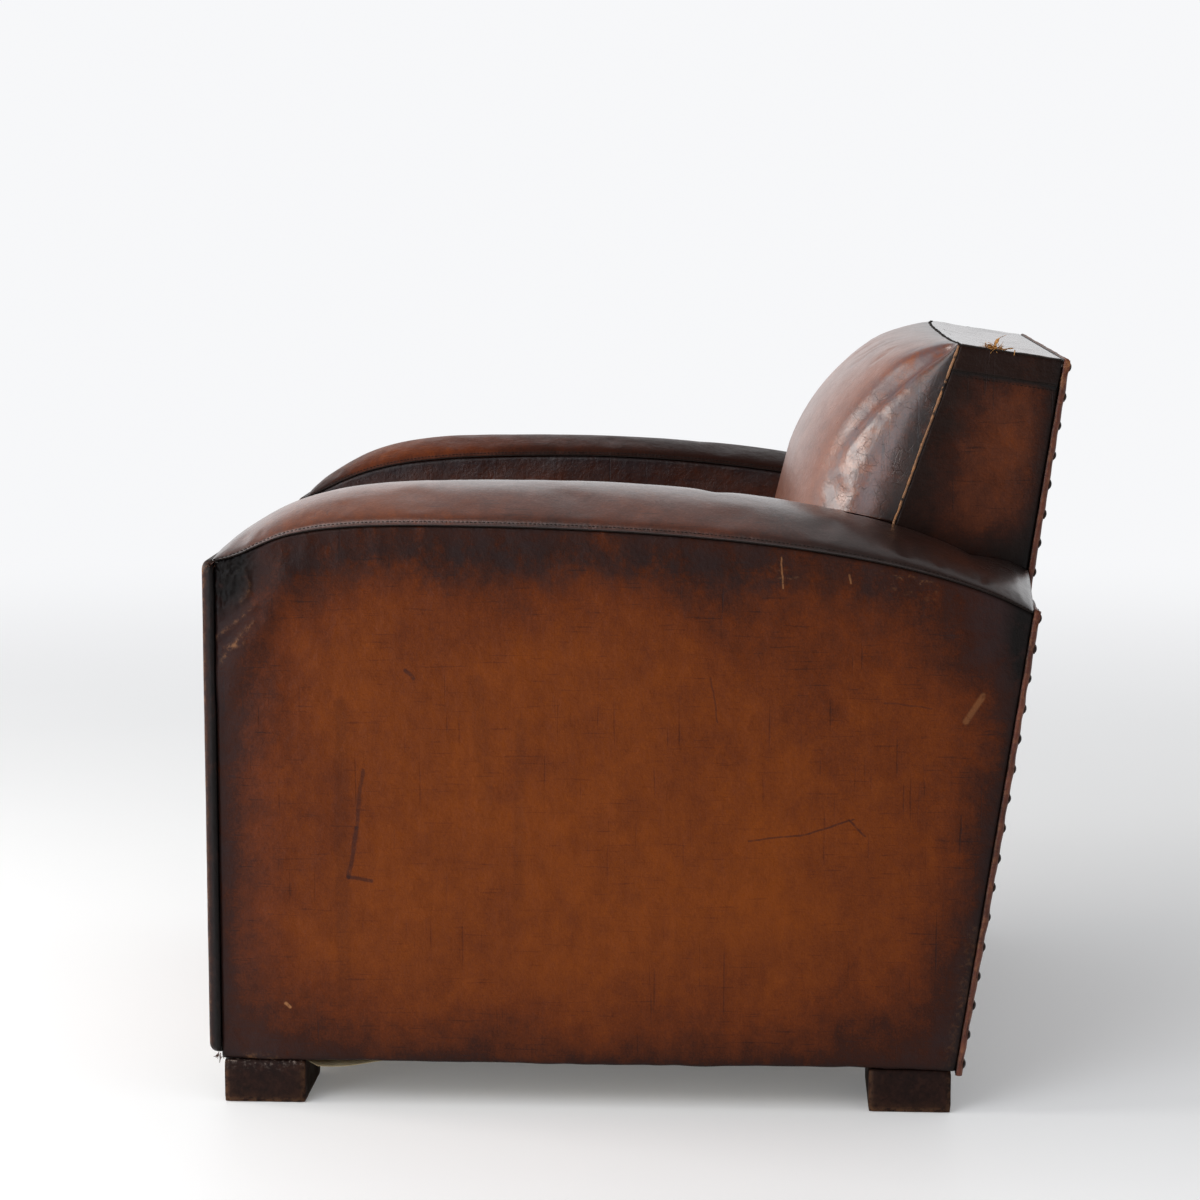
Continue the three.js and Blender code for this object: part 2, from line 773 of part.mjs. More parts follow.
function backHessian() {
  const rear = uprightFront - gap;
  const low = upTheRake(deckTop + gap, rear - hessianThickness);
  return block([-seatHalf, rear - hessianThickness, low], [seatHalf, rear, backInnerTop]);
}

function backTopPanel() {
  return block([-halfBack, -backTopDepth, backHeight - backTopThickness], [halfBack, 0, backHeight]);
}

function backSidePanel() {
  const low = upTheRake(armRearHeight - armBoardThickness, 0);
  const high = backInnerTop;
  const outline = [[backDepthAt(low), low], [0, low], [0, high], [backDepthAt(high), high]];
  return slab(outline, 'x', halfBack - backSideThickness, halfBack);
}

// Stepped outline of the outside back, drawn in by an inset
function outsideBackOutline(inset) {
  const wide = halfWidth - inset;
  const narrow = halfBack - inset;
  const low = inset - outsideBackDrop;
  const shoulder = upTheRake(armRearHeight, 0) + shoulderOverlap - inset;
  const high = backHeight - inset;
  const half = [[wide, low], [wide, shoulder], [narrow, shoulder], [narrow, high]];
  return [...half, ...half.map(([x, w]) => [-x, w]).reverse()];
}

// Places of nails between two points, at about the nail pitch
function nailsBetween(from, to) {
  const spaces = Math.max(1, Math.round(Math.hypot(to[0] - from[0], to[1] - from[1]) / nailPitch));
  return Array.from({ length: spaces }, (_, i) => [
    from[0] + (to[0] - from[0]) * i / spaces,
    from[1] + (to[1] - from[1]) * i / spaces,
  ]);
}

// A domed nail head that stands out along +Y, with its rim let into what it holds
function nailHead() {
  const radius = nailWidth / 2;
  const brow = new THREE.Vector2(radius * Math.SQRT1_2, nailHeight * Math.SQRT1_2);
  const rim = new THREE.Vector2(radius, -gap);
  const profile = [new THREE.Vector2(0, -gap), rim, brow, new THREE.Vector2(0, nailHeight)];
  return weld(new THREE.LatheGeometry(profile, nailSides));
}

function outsideBack() {
  const rear = gap + outsideBackThickness;
  const panel = slab(outsideBackOutline(0), 'y', gap, rear);
  const nailSeat = rear + foldThickness;
  const hem = outsideBackOutline(foldWidth);
  const fold = slab(outsideBackOutline(0), 'y', rear - foldThickness / 2, nailSeat, hem);
  const [foot, corner, step, top] = outsideBackOutline(nailInset);
  const otherTop = [-top[0], top[1]];
  const runs = [[[foot[0], foot[1] + nailWidth], corner], [corner, step], [step, top]];
  const half = runs.flatMap(([from, to]) => nailsBetween(from, to));
  const places = [...half, ...half.map(([x, w]) => [-x, w]), ...nailsBetween(top, otherTop), otherTop];
  const nails = places.map(([x, w]) => nailHead().translate(x, nailSeat, w));
  return joined(panel, fold, ...nails);
}

// Cloth tacked on under the seat, cut out round the feet
function dustCover() {
  const top = railBottom - 2 * gap - webThickness;
  const half = halfWidth - dustCoverMargin;
  const front = sideFront + gap;
  const rear = depthOnRake(top, -dustCoverMargin);
  const footInner = footX - footRoom;
  const frontNotch = sideFront + footSetback + footLength + footRoom;
  const rearNotch = depthOnRake(coverBottom, -rearFootSetback) - footLength - footRoom;
  const frontCut = [[footInner, front], [footInner, frontNotch], [half, frontNotch]];
  const rearCut = [[half, rearNotch], [footInner, rearNotch], [footInner, rear]];
  const right = [...frontCut, ...rearCut];
  const left = right.map(([x, y]) => [-x, y]).reverse();
  return slab([...right, ...left], 'z', top - dustCoverThickness, top);
}

// Materials
function finish(name, color, roughness, metalness = 0) {
  return new THREE.MeshStandardMaterial({ name, color, roughness, metalness });
}

const leather = finish('leather', 0x6d3718, 0.38);
const darkLeather = finish('dark_leather', 0x3a1c12, 0.42);
const wood = finish('frame_wood', 0xb58d5d, 0.75);
const stainedWood = finish('foot_wood', 0x2a1a14, 0.5);
const webbing = finish('webbing', 0xa88a5c, 0.95);
const hessian = finish('hessian', 0xb9a47c, 0.95);
const straw = finish('stuffing', 0x8f6b3a, 1);
const steel = finish('spring_steel', 0x6f6f70, 0.45, 1);

const chair = new THREE.Group();
const back = new THREE.Group();
back.applyMatrix4(backFrame);
chair.add(back);

function piece(parent, name, geometry, material) {
  const mesh = new THREE.Mesh(geometry, material);
  mesh.name = name;
  parent.add(mesh);
  return mesh;
}

// A piece on the sitter's left and its mirror image on the right
function pair(parent, name, geometry, material) {
  piece(parent, `left_${name}`, geometry, material);
  piece(parent, `right_${name}`, mirrored(geometry), material);
}

pair(chair, 'arm_top', armTopBand(), leather);
pair(chair, 'outside_arm', outsideArm(), leather);
pair(chair, 'inside_arm', insideArm(), leather);
pair(chair, 'arm_facing', armFacing(), darkLeather);
pair(chair, 'arm_board', armBoard(), wood);
pair(chair, 'front_post', frontPost(), wood);
pair(chair, 'rear_post', rearPost(), wood);
pair(chair, 'side_rail', sideRail(), wood);
pair(chair, 'arm_tack_rail', armTackRail(), wood);
pair(chair, 'front_corner_block', cornerBlock(false), wood);
pair(chair, 'rear_corner_block', cornerBlock(true), wood);
piece(chair, 'front_rail', frontRail(), wood);
piece(chair, 'rear_rail', rearRail(), wood);

const frontFootY = sideFront + footSetback;
const rearFootY = depthOnRake(coverBottom, -rearFootSetback) - footLength;
pair(chair, 'front_foot', foot().translate(0, frontFootY, 0), stainedWood);
pair(chair, 'rear_foot', foot().translate(0, rearFootY, 0), stainedWood);

pair(back, 'back_upright', upright(), wood);
pair(back, 'back_side', backSidePanel(), leather);
piece(back, 'back_top_rail', topRail(), wood);
piece(back, 'back_tack_rail', backTackRail(), wood);
piece(back, 'back_webbing', backWebbing(), webbing);
piece(back, 'back_hessian', backHessian(), hessian);
piece(back, 'back_stuffing', backStuffing(), straw);
piece(back, 'inside_back', insideBack(), leather);
piece(back, 'back_top', backTopPanel(), darkLeather);
piece(back, 'outside_back', outsideBack(), darkLeather);

const webTop = railBottom - gap;
const springPitchX = seatStrapPitchX * 2;
const springPitchY = seatStrapPitchY * 2;
const seatSpringHeight = deckBottom - hessianThickness - 2 * gap - webTop - gap;
row(seatSprings, springPitchY, seatMiddle).forEach((y, j) => {
  row(seatSprings, springPitchX).forEach((x, i) => {
    const coil = spring(seatSpringWidth, seatSpringWaist, seatSpringWire, seatSpringTurns, seatSpringHeight);
    const mesh = piece(chair, `seat_spring_${j * seatSprings + i + 1}`, coil, steel);
    mesh.position.set(x, y, webTop + gap);
  });
});

const backSpringHeight = uprightDepth;
row(backSprings, backStrapPitchW * 2, backWebMiddle).forEach((w, j) => {
  row(backSprings, backStrapPitchX * 2).forEach((x, i) => {
    const coil = spring(backSpringWidth, backSpringWaist, backSpringWire, backSpringTurns, backSpringHeight);
    const mesh = piece(back, `back_spring_${j * backSprings + i + 1}`, coil, steel);
    mesh.rotation.x = Math.PI / 2;
    mesh.position.set(x, uprightRear - gap, w);
  });
});

piece(chair, 'seat_webbing', seatWebbing(), webbing);
piece(chair, 'seat_hessian', seatHessian(), hessian);
piece(chair, 'seat_deck', seatDeck(), straw);
piece(chair, 'front_border', frontBorder(), leather);
piece(chair, 'seat_cushion', seatCushion(), leather);
piece(chair, 'dust_cover', dustCover(), hessian);

// The origin is the middle of the bounding box, at the floor
chair.updateMatrixWorld(true);
const extent = new THREE.Box3().setFromObject(chair, true);
chair.position.y = -(extent.min.y + extent.max.y) / 2;

export default chair;
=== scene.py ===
import math

import bmesh
import bpy
import numpy as np
from bpy.props import FloatProperty, FloatVectorProperty, PointerProperty
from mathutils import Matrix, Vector, noise


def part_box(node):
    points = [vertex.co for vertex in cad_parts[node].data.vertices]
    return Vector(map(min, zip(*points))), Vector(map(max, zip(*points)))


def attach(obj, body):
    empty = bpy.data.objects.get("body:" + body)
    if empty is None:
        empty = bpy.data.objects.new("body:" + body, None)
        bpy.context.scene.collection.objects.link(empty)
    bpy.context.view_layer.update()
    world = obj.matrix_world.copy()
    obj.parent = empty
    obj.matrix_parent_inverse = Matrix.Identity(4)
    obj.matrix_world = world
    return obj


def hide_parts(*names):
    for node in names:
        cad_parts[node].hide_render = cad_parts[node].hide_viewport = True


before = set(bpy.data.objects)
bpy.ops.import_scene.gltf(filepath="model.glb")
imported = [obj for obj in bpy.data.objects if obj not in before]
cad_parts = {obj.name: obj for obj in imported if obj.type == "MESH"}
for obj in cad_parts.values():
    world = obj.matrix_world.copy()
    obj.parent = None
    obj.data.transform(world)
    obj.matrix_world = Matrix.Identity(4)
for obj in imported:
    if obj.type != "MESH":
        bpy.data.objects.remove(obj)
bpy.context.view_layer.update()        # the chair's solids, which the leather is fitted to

bl_info = {
    "name": "Worn club chair",
    "version": (1, 0, 0),
    "blender": (4, 5, 0),
    "location": "View3D > Sidebar > Club chair",
    "description": "Dresses a club chair's frame in worn leather",
    "category": "Object",
}

BODY = "root"
SIDES = {"left": 1.0, "right": -1.0}
LAST_STEP = 20          # frames of a simulation
CLEARANCE = 0.0004      # between a cover and what it lies on
SEAM_GAP = 0.0002       # between a panel's front edge and its seam
SIDE_PANEL = 0.0118     # thickness of an outside arm
INNER_PANEL = 0.0135    # thickness of an inside arm
BACK_PANEL = 0.0078     # thickness of the back's sides and top


# Places read from the solids
def points_of(node):
    """The corners of a solid, one row each."""
    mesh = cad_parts[node].data
    flat = np.empty(len(mesh.vertices) * 3, np.float32)
    mesh.vertices.foreach_get("co", flat)
    return np.unique(flat.reshape(-1, 3).astype(float).round(6), axis=0)


def top_edge(node, x, above):
    """The upper edge of an arm panel at one width, as rows of depth and height."""
    points = points_of(node)
    points = points[(np.abs(points[:, 0] - x) < 1e-4) & (points[:, 2] > above)]
    rows = {}
    for _, y, z in points:
        rows[round(y, 4)] = max(z, rows.get(round(y, 4), 0.0))
    return np.array(sorted(rows.items()))


def smooth_line(points):
    """A function that gives the height of a smooth line through rows of depth and height."""
    ys, zs = points[:, 0], points[:, 1]
    slopes = np.gradient(zs, ys)

    def height(y):
        y = np.asarray(y, float)
        i = np.clip(np.searchsorted(ys, y) - 1, 0, len(ys) - 2)
        step = ys[i + 1] - ys[i]
        t = np.clip((y - ys[i]) / step, 0, 1)
        rise = (2 * t**3 - 3 * t**2 + 1) * zs[i] + (3 * t**2 - 2 * t**3) * zs[i + 1]
        bend = (t**3 - 2 * t**2 + t) * slopes[i] + (t**3 - t**2) * slopes[i + 1]
        return rise + bend * step

    return height


SIDE_LOW, SIDE_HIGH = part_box("left_outside_arm")
FACING_LOW, FACING_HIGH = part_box("left_arm_facing")
ARM_OUTER = SIDE_HIGH.x
ARM_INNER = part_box("left_arm_top")[0].x
ARM_WIDTH = ARM_OUTER - ARM_INNER
SIDE_FRONT = SIDE_LOW.y
COVER_BOTTOM = SIDE_LOW.z
OUTER_EDGE = top_edge("left_outside_arm", ARM_OUTER, 0.5)
INNER_EDGE = top_edge("left_inside_arm", ARM_INNER, 0.5)
outer_seam = smooth_line(OUTER_EDGE)
inner_seam = smooth_line(INNER_EDGE)
ARM_REAR, ARM_REAR_HEIGHT = OUTER_EDGE[-1]

# The raked frame of the back: v is the depth behind the back plane and w the place up the rake
side_corners = points_of("left_outside_arm")
BACK_FOOT = side_corners[side_corners[:, 2] < COVER_BOTTOM + 1e-4][:, 1].max()
RAKE = math.atan2(ARM_REAR - BACK_FOOT, ARM_REAR_HEIGHT - COVER_BOTTOM)
RAKE_COS, RAKE_SIN = math.cos(RAKE), math.sin(RAKE)


def from_back(x, v, w):
    """Points of the back's frame in the chair's frame."""
    x, v, w = np.broadcast_arrays(x, v, w)
    y = BACK_FOOT + v * RAKE_COS + w * RAKE_SIN
    z = COVER_BOTTOM - v * RAKE_SIN + w * RAKE_COS
    return np.stack([x, y, z], -1)


def to_back(points):
    """Depth behind the back plane and place up the rake of points of the chair's frame."""
    y, z = points[..., 1] - BACK_FOOT, points[..., 2] - COVER_BOTTOM
    return y * RAKE_COS - z * RAKE_SIN, y * RAKE_SIN + z * RAKE_COS


def back_points(node):
    points = points_of(node)
    v, w = to_back(points)
    return points[:, 0], v, w


HALF_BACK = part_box("left_back_side")[1].x
_, side_v, side_w = back_points("left_back_side")
_, top_v, top_w = back_points("back_top")
BACK_TOP = top_w.max()
BACK_TOP_DEPTH = -top_v.min()
TAPER_LOW = side_w.min()
TAPER = (-side_v[side_w < TAPER_LOW + 1e-4].min() - BACK_TOP_DEPTH) / (BACK_TOP - TAPER_LOW)
OUTSIDE_BACK_V = 0.0003     # how far the outside back stands behind the back plane
TOP_BOW = 0.009             # how far the back's top bows forward in its middle


def front_v(w):
    """Depth of the front edge of the back's sides at a place up the rake."""
    return -(BACK_TOP_DEPTH + (BACK_TOP - w) * TAPER)


# Small tools for shapes
def ease(low, high, value):
    """0 below low, 1 above high and a smooth step between them."""
    t = np.clip((np.asarray(value, float) - low) / (high - low), 0, 1)
    return t * t * (3 - 2 * t)


def fade(distance, width):
    """1 at no distance, dying away over a width."""
    return np.exp(-distance / width)


def bell(distance, width):
    """1 at no distance, dying away to both sides of it."""
    return np.exp(-((distance / width) ** 2))


def rolled(distance, radius):
    """How far a rounded edge falls away at a distance from it."""
    d = np.clip(distance, 0, radius)
    return radius - np.sqrt(np.maximum(radius**2 - (radius - d) ** 2, 0))


def spaced(count, pull=0.8):
    """Shares from 0 to 1 that lie closer together at both ends."""
    t = np.linspace(0, 1, count)
    return t - pull * np.sin(2 * np.pi * t) / (2 * np.pi)


def patch(rows, columns, pull_across=0.8, pull_up=0.8):
    """Shares across and up a panel for each point of its grid."""
    return np.meshgrid(spaced(rows, pull_across), spaced(columns, pull_up), indexing="ij")


def places(x, y, z):
    """Points from their three measures, which may be single numbers."""
    return np.stack(np.broadcast_arrays(x, y, z), -1)


def ripple(points, size, seed, octaves=3):
    """Smooth uneven values between about -1 and 1, one for each point, with features of a size."""
    flat = np.asarray(points, float).reshape(-1, 3)
    shift = Vector((13.7 * seed, 5.3 * seed, 7.9 * seed))
    values = [noise.fractal(Vector(p / size) + shift, 0.6, 2.0, octaves) for p in flat]
    return np.array(values).reshape(np.asarray(points).shape[:-1])


def near(a, b, start, end, width):
    """1 on the line between two places and fading to 0 at a width from it."""
    p = np.stack([a, b], -1) - np.array(start)
    line = np.array(end, float) - np.array(start)
    t = np.clip(p @ line / (line @ line), 0, 1)
    away = np.linalg.norm(p - t[..., None] * line, axis=-1)
    return bell(away, width)


def rim_of(rows, columns):
    """Places of a grid's border, in order round it."""
    index = np.arange(rows * columns).reshape(rows, columns)
    return np.concatenate([index[0], index[1:, -1], index[-1, -2::-1], index[-2:0:-1, 0]])


def grid_quads(rows, columns, closed=False):
    index = np.arange(rows * columns).reshape(rows, columns)
    if closed:
        index = np.concatenate([index, index[:, :1]], 1)
    parts = [index[:-1, :-1], index[1:, :-1], index[1:, 1:], index[:-1, 1:]]
    return np.stack(parts, -1).reshape(-1, 4)


def linked(name, mesh):
    """An object of the scene with its mesh, lamp or camera."""
    piece = bpy.data.objects.new(name, mesh)
    bpy.context.scene.collection.objects.link(piece)
    return piece


def smooth(mesh):
    mesh.polygons.foreach_set("use_smooth", [True] * len(mesh.polygons))


def settled(name, work):
    """An object from a mesh that was worked on."""
    mesh = bpy.data.meshes.new(name)
    work.to_mesh(mesh)
    work.free()
    return linked(name, mesh)


def new_piece(name, vertices, faces):
    """A smooth mesh object whose faces point outward."""
    mesh = bpy.data.meshes.new(name)
    mesh.from_pydata([tuple(v) for v in vertices], [], [tuple(int(i) for i in f) for f in faces])
    work = bmesh.new()
    work.from_mesh(mesh)
    bmesh.ops.recalc_face_normals(work, faces=work.faces)
    work.to_mesh(mesh)
    work.free()
    smooth(mesh)
    mesh.update()
    return linked(name, mesh)


def pressed(axis, value):
    """A function that moves a rim to one place along an axis."""
    def move(rim):
        made = rim.copy()
        made[:, axis] = value
        return made

    return move


def shell(name, face, back):
    """A closed piece from a grid of points for its face and a function that moves its rim to its back."""
    rows, columns = face.shape[:2]
    rim = rim_of(rows, columns)
    front = face.reshape(-1, 3)
    count = len(front)
    behind = back(front[rim])
    faces = [list(q) for q in grid_quads(rows, columns)]
    for i in range(len(rim)):
        j = (i + 1) % len(rim)
        faces.append([rim[i], rim[j], count + j, count + i])
    faces.append([count + i for i in range(len(rim))][::-1])
    return new_piece(name, np.concatenate([front, behind]), faces)


def paint(piece, name, values, rest=0.0):
    """Keeps one value for each point of a piece, which its finish reads. A grid's rim hands its values on to
    the hidden back of the piece, where the black mask is set full: painted shade that darkens the gaps between parts."""
    values = np.asarray(values, np.float32)
    flat = values.ravel()
    data = np.full(len(piece.data.vertices), rest, np.float32)
    data[: len(flat)] = flat
    if values.ndim == 2 and len(data) > len(flat):
        rim = flat[rim_of(*values.shape)]
        if len(data) == len(flat) + len(rim):
            # Painted shade: the hidden back is black, so the gaps between parts look dark.
            data[len(flat):] = 1.0 if name == "soot" else rim
    layer = piece.data.attributes.new(name, "FLOAT", "POINT")
    layer.data.foreach_set("value", data)


def paint_all(piece, **values):
    for name, given in values.items():
        paint(piece, name, given)


def paint_evenly(piece, patina=0.0, smudge=0.0, soot=0.0, rub=0.0):
    """Keeps the same values on every point of a small piece."""
    for name, value in (("patina", patina), ("smudge", smudge), ("soot", soot), ("rub", rub)):
        paint(piece, name, [], value)


def positions(piece):
    flat = np.empty(len(piece.data.vertices) * 3, np.float32)
    piece.data.vertices.foreach_get("co", flat)
    return flat.reshape(-1, 3).astype(float)


def move_to(piece, points):
    piece.data.vertices.foreach_set("co", points.astype(np.float32).ravel())
    piece.data.update()


def sliced(work, centre, normal):
    """Cuts all faces of a mesh along a plane."""
    parts = work.verts[:] + work.edges[:] + work.faces[:]
    bmesh.ops.bisect_plane(work, geom=parts, plane_co=centre, plane_no=normal)


def rounded_block(name, low, high, radius, cell):
    """A box with rounded edges and faces cut into small cells."""
    low, high = np.array(low, float), np.array(high, float)
    work = bmesh.new()
    bmesh.ops.create_cube(work, size=1.0)
    for axis in range(3):
        cuts = max(2, int((high - low)[axis] / cell))
        for i in range(1, cuts):
            plane, normal = Vector((0, 0, 0)), Vector((0, 0, 0))
            plane[axis] = i / cuts - 0.5
            normal[axis] = 1
            sliced(work, plane, normal)
    for vertex in work.verts:
        p = (np.array(vertex.co) + 0.5) * (high - low) + low
        core = np.clip(p, low + radius, high - radius)
        away = p - core
        length = np.linalg.norm(away)
        vertex.co = core + (away / length * radius if length > 0 else 0)
    piece = settled(name, work)
    smooth(piece.data)
    return piece


def cut_away(piece, room):
    """Cuts a closed object out of a piece and removes that object."""
    cutter = piece.modifiers.new("room", "BOOLEAN")
    cutter.operation = "DIFFERENCE"
    cutter.solver = "EXACT"
    cutter.object = room
    shown = piece.evaluated_get(bpy.context.evaluated_depsgraph_get())
    made = bpy.data.meshes.new_from_object(shown)
    piece.modifiers.remove(cutter)
    piece.data = made
    bpy.data.objects.remove(room)


def simulate(name, vertices, faces, sewn, pressure, reach, spare):
    """Lets leather take the pressure of its stuffing and gives its points back. sewn holds the shares by which
    they are held, reach is how far a point may move and spare how much longer the leather is cut."""
    piece = new_piece(name, vertices, faces)
    group = piece.vertex_groups.new(name="sewn")
    shares = sewn.ravel().round(2)
    for weight in np.unique(shares):
        group.add(np.flatnonzero(shares == weight).tolist(), float(weight), "REPLACE")
    cloth = piece.modifiers.new("stuffing", "CLOTH")
    settings = {"quality": 4, "mass": 0.4, "tension_stiffness": 20, "compression_stiffness": 20,
                "bending_stiffness": 3, "use_pressure": True, "uniform_pressure_force": pressure,
                "vertex_group_mass": "sewn", "shrink_min": -spare}
    for key, value in settings.items():
        setattr(cloth.settings, key, value)
    cloth.settings.effector_weights.gravity = 0
    cloth.collision_settings.use_collision = False
    for step in range(1, LAST_STEP + 1):
        bpy.context.scene.frame_set(step)
    shown = piece.evaluated_get(bpy.context.evaluated_depsgraph_get())
    flat = np.empty(len(vertices) * 3, np.float32)
    shown.data.vertices.foreach_get("co", flat)
    bpy.data.objects.remove(piece)
    bpy.context.scene.frame_set(1)
    move = flat.reshape(-1, 3).astype(float) - vertices
    length = np.linalg.norm(move, axis=1, keepdims=True)
    move *= np.tanh(length / reach) * reach / np.maximum(length, 1e-9)
    return vertices + move


def resampled(values, kept, count):
    """Smooth values for every row of a grid, from those of the rows that were kept."""
    at = np.arange(count)
    i = np.clip(np.searchsorted(kept, at, "right") - 1, 0, len(kept) - 2)
    t = ((at - kept[i]) / (kept[i + 1] - kept[i])).reshape(-1, *[1] * (values.ndim - 1))
    before, after = values[np.maximum(i - 1, 0)], values[np.minimum(i + 2, len(kept) - 1)]
    a, b = values[i], values[i + 1]
    rise = (b - before) * t / 2
    bend = (2 * before - 5 * a + 4 * b - after) * t**2 / 2
    return a + rise + bend + (3 * a - before - 3 * b + after) * t**3 / 2


def stuffed(name, face, sewn, pressure, reach, spare, skip=2):
    """The face of a padded piece after a simulation of every second point each way."""
    rows, columns = face.shape[:2]
    kept_rows = np.unique(np.append(np.arange(0, rows, skip), rows - 1))
    kept_columns = np.unique(np.append(np.arange(0, columns, skip), columns - 1))
    few = np.ix_(kept_rows, kept_columns)
    coarse = face[few]
    start = coarse.reshape(-1, 3)
    quads = grid_quads(len(kept_rows), len(kept_columns))
    move = (simulate(name, start, quads, sewn[few], pressure, reach, spare) - start).reshape(coarse.shape)
    move = resampled(move, kept_rows, rows)
    move = resampled(move.swapaxes(0, 1), kept_columns, columns).swapaxes(0, 1)
    return face + move * (1 - sewn)[..., None] ** 0.5


def plain_mesh(piece):
    """Turns a piece and its modifiers into a plain mesh."""
    graph = bpy.context.evaluated_depsgraph_get()
    shown = piece.evaluated_get(graph)
    mesh = bpy.data.meshes.new_from_object(shown, preserve_all_data_layers=True, depsgraph=graph)
    name = piece.name
    bpy.data.objects.remove(piece)
    mesh.name = name
    return linked(name, mesh)


def dress(piece, material, slot, *nodes):
    """Gives a finished piece its material and says which solids it stands for; its slot is not used."""
    piece.data.materials.clear()
    piece.data.materials.append(material)
    if nodes:
        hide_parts(*nodes)
    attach(piece, BODY)


# Finishes
def colour(text):
    """A colour written as six hex digits, as linear values."""
    parts = [int(text[i:i + 2], 16) / 255 for i in (0, 2, 4)]
    return tuple(p / 12.92 if p <= 0.04045 else ((p + 0.055) / 1.055) ** 2.4 for p in parts) + (1.0,)


class Nodes:
    """Short calls that build a material's nodes."""

    def __init__(self, name, roughness=0.5):
        self.material = bpy.data.materials.new(name)
        self.material.use_nodes = True
        self.tree = self.material.node_tree
        self.shader = self.tree.nodes["Principled BSDF"]
        self.shader.inputs["Roughness"].default_value = roughness
        self.place = self.add("ShaderNodeTexCoord").outputs["Object"]

    def add(self, kind, **settings):
        node = self.tree.nodes.new(kind)
        for key, value in settings.items():
            setattr(node, key, value)
        return node

    def put(self, socket, value):
        """Links a socket, or sets it to a number or to a colour of six hex digits."""
        if isinstance(value, bpy.types.NodeSocket):
            self.tree.links.new(value, socket)
        else:
            socket.default_value = colour(value) if isinstance(value, str) else value

    def shade(self, values):
        """Sets sockets of the shader by their names."""
        for name, value in values.items():
            self.put(self.shader.inputs[name], value)

    def swing(self, value, share, onto):
        """Adds a share of what a noise differs from its middle."""
        return self.math("MULTIPLY_ADD", self.math("SUBTRACT", value, 0.5), share, onto)

    def math(self, operation, a, b=0.0, c=0.0, clamp=False):
        node = self.add("ShaderNodeMath", operation=operation, use_clamp=clamp)
        for socket, value in zip(node.inputs, (a, b, c)):
            self.put(socket, value)
        return node.outputs[0]

    def times(self, a, b, clamp=False):
        return self.math("MULTIPLY", a, b, clamp=clamp)

    def fed(self, kind, inputs, **settings):
        """A node whose inputs are set by their names."""
        node = self.add(kind, **settings)
        for name, value in inputs.items():
            self.put(node.inputs[name], value)
        return node

    def scaled(self, scale, turn=(0.0, 0.0, 0.0), shift=(0.0, 0.0, 0.0)):
        given = {"Vector": self.place, "Scale": scale, "Rotation": turn, "Location": shift}
        return self.fed("ShaderNodeMapping", given).outputs[0]

    def noise(self, scale, detail=4.0, rough=0.55, place=None, distortion=0.0):
        given = {"Vector": place or self.place, "Scale": scale, "Detail": detail, "Roughness": rough,
                 "Distortion": distortion}
        return self.fed("ShaderNodeTexNoise", given).outputs[0]

    def cells(self, scale, feature="F1", place=None):
        given = {"Vector": place or self.place, "Scale": scale}
        return self.fed("ShaderNodeTexVoronoi", given, feature=feature).outputs["Distance"]

    def ramp(self, value, stops):
        node = self.add("ShaderNodeValToRGB")
        self.put(node.inputs[0], value)
        elements = node.color_ramp.elements
        while len(elements) < len(stops):
            elements.new(0.5)
        for element, (place, tone) in zip(elements, stops):
            element.position = place
            element.color = colour(tone) if isinstance(tone, str) else tone
        return node.outputs[0]

    def warped(self, place, scale, amount):
        """Places pushed about by a noise, so that what is drawn on them wanders."""
        sway = self.fed("ShaderNodeTexNoise", {"Vector": place, "Scale": scale}).outputs["Color"]
        push = self.add("ShaderNodeVectorMath", operation="MULTIPLY_ADD")
        for socket, value in zip(push.inputs, (sway, (amount,) * 3, place)):
            self.put(socket, value)
        return push.outputs[0]

    def range(self, value, low, high, to_low=0.0, to_high=1.0):
        node = self.add("ShaderNodeMapRange", clamp=True, interpolation_type="SMOOTHSTEP")
        for socket, given in zip(node.inputs, (value, low, high, to_low, to_high)):
            self.put(socket, given)
        return node.outputs[0]

    def mix(self, share, a, b, blend="MIX"):
        node = self.add("ShaderNodeMix", data_type="RGBA", blend_type=blend)
        sockets = [s for s in node.inputs if s.enabled]
        for socket, value in zip(sockets, (share, a, b)):
            self.put(socket, value)
        return next(s for s in node.outputs if s.enabled)

    def kept(self, name):
        return self.add("ShaderNodeAttribute", attribute_name=name).outputs["Fac"]

    def bump(self, height, distance, under=None):
        node = self.fed("ShaderNodeBump", {"Height": height, "Distance": distance})
        if under is not None:
            self.put(node.inputs["Normal"], under)
        return node.outputs[0]

    def mark(self, start, end, width, waver=0.003):
        """1 on a stroke between two places of a side panel, given as depth and height."""
        sway = self.noise(35.0, 2.0)
        split = self.add("ShaderNodeSeparateXYZ")
        self.put(split.inputs[0], self.place)
        sway = self.times(self.math("SUBTRACT", sway, 0.5), waver * 2)
        y = self.math("SUBTRACT", self.math("ADD", split.outputs[1], sway), start[0])
        z = self.math("SUBTRACT", self.math("ADD", split.outputs[2], sway), start[1])
        run, rise = end[0] - start[0], end[1] - start[1]
        length = run * run + rise * rise
        along = self.math("ADD", self.times(y, run / length), self.times(z, rise / length))
        along = self.times(along, 1.0, clamp=True)
        away_y = self.math("SUBTRACT", y, self.times(along, run))
        away_z = self.math("SUBTRACT", z, self.times(along, rise))
        square = self.math("ADD", self.times(away_y, away_y), self.times(away_z, away_z))
        return self.range(self.math("SQRT", square), width, width * 0.35)


HONEY = "763709"
CHESTNUT = "5d2809"
UMBER = "36170b"
PLUM = "231416"
# The near black below is laid for soot and for painted shade; the tan after it for rubbed leather and for painted
# highlights.
SOOT_AND_SHADE = "14100f"
TAN = "a8744a"


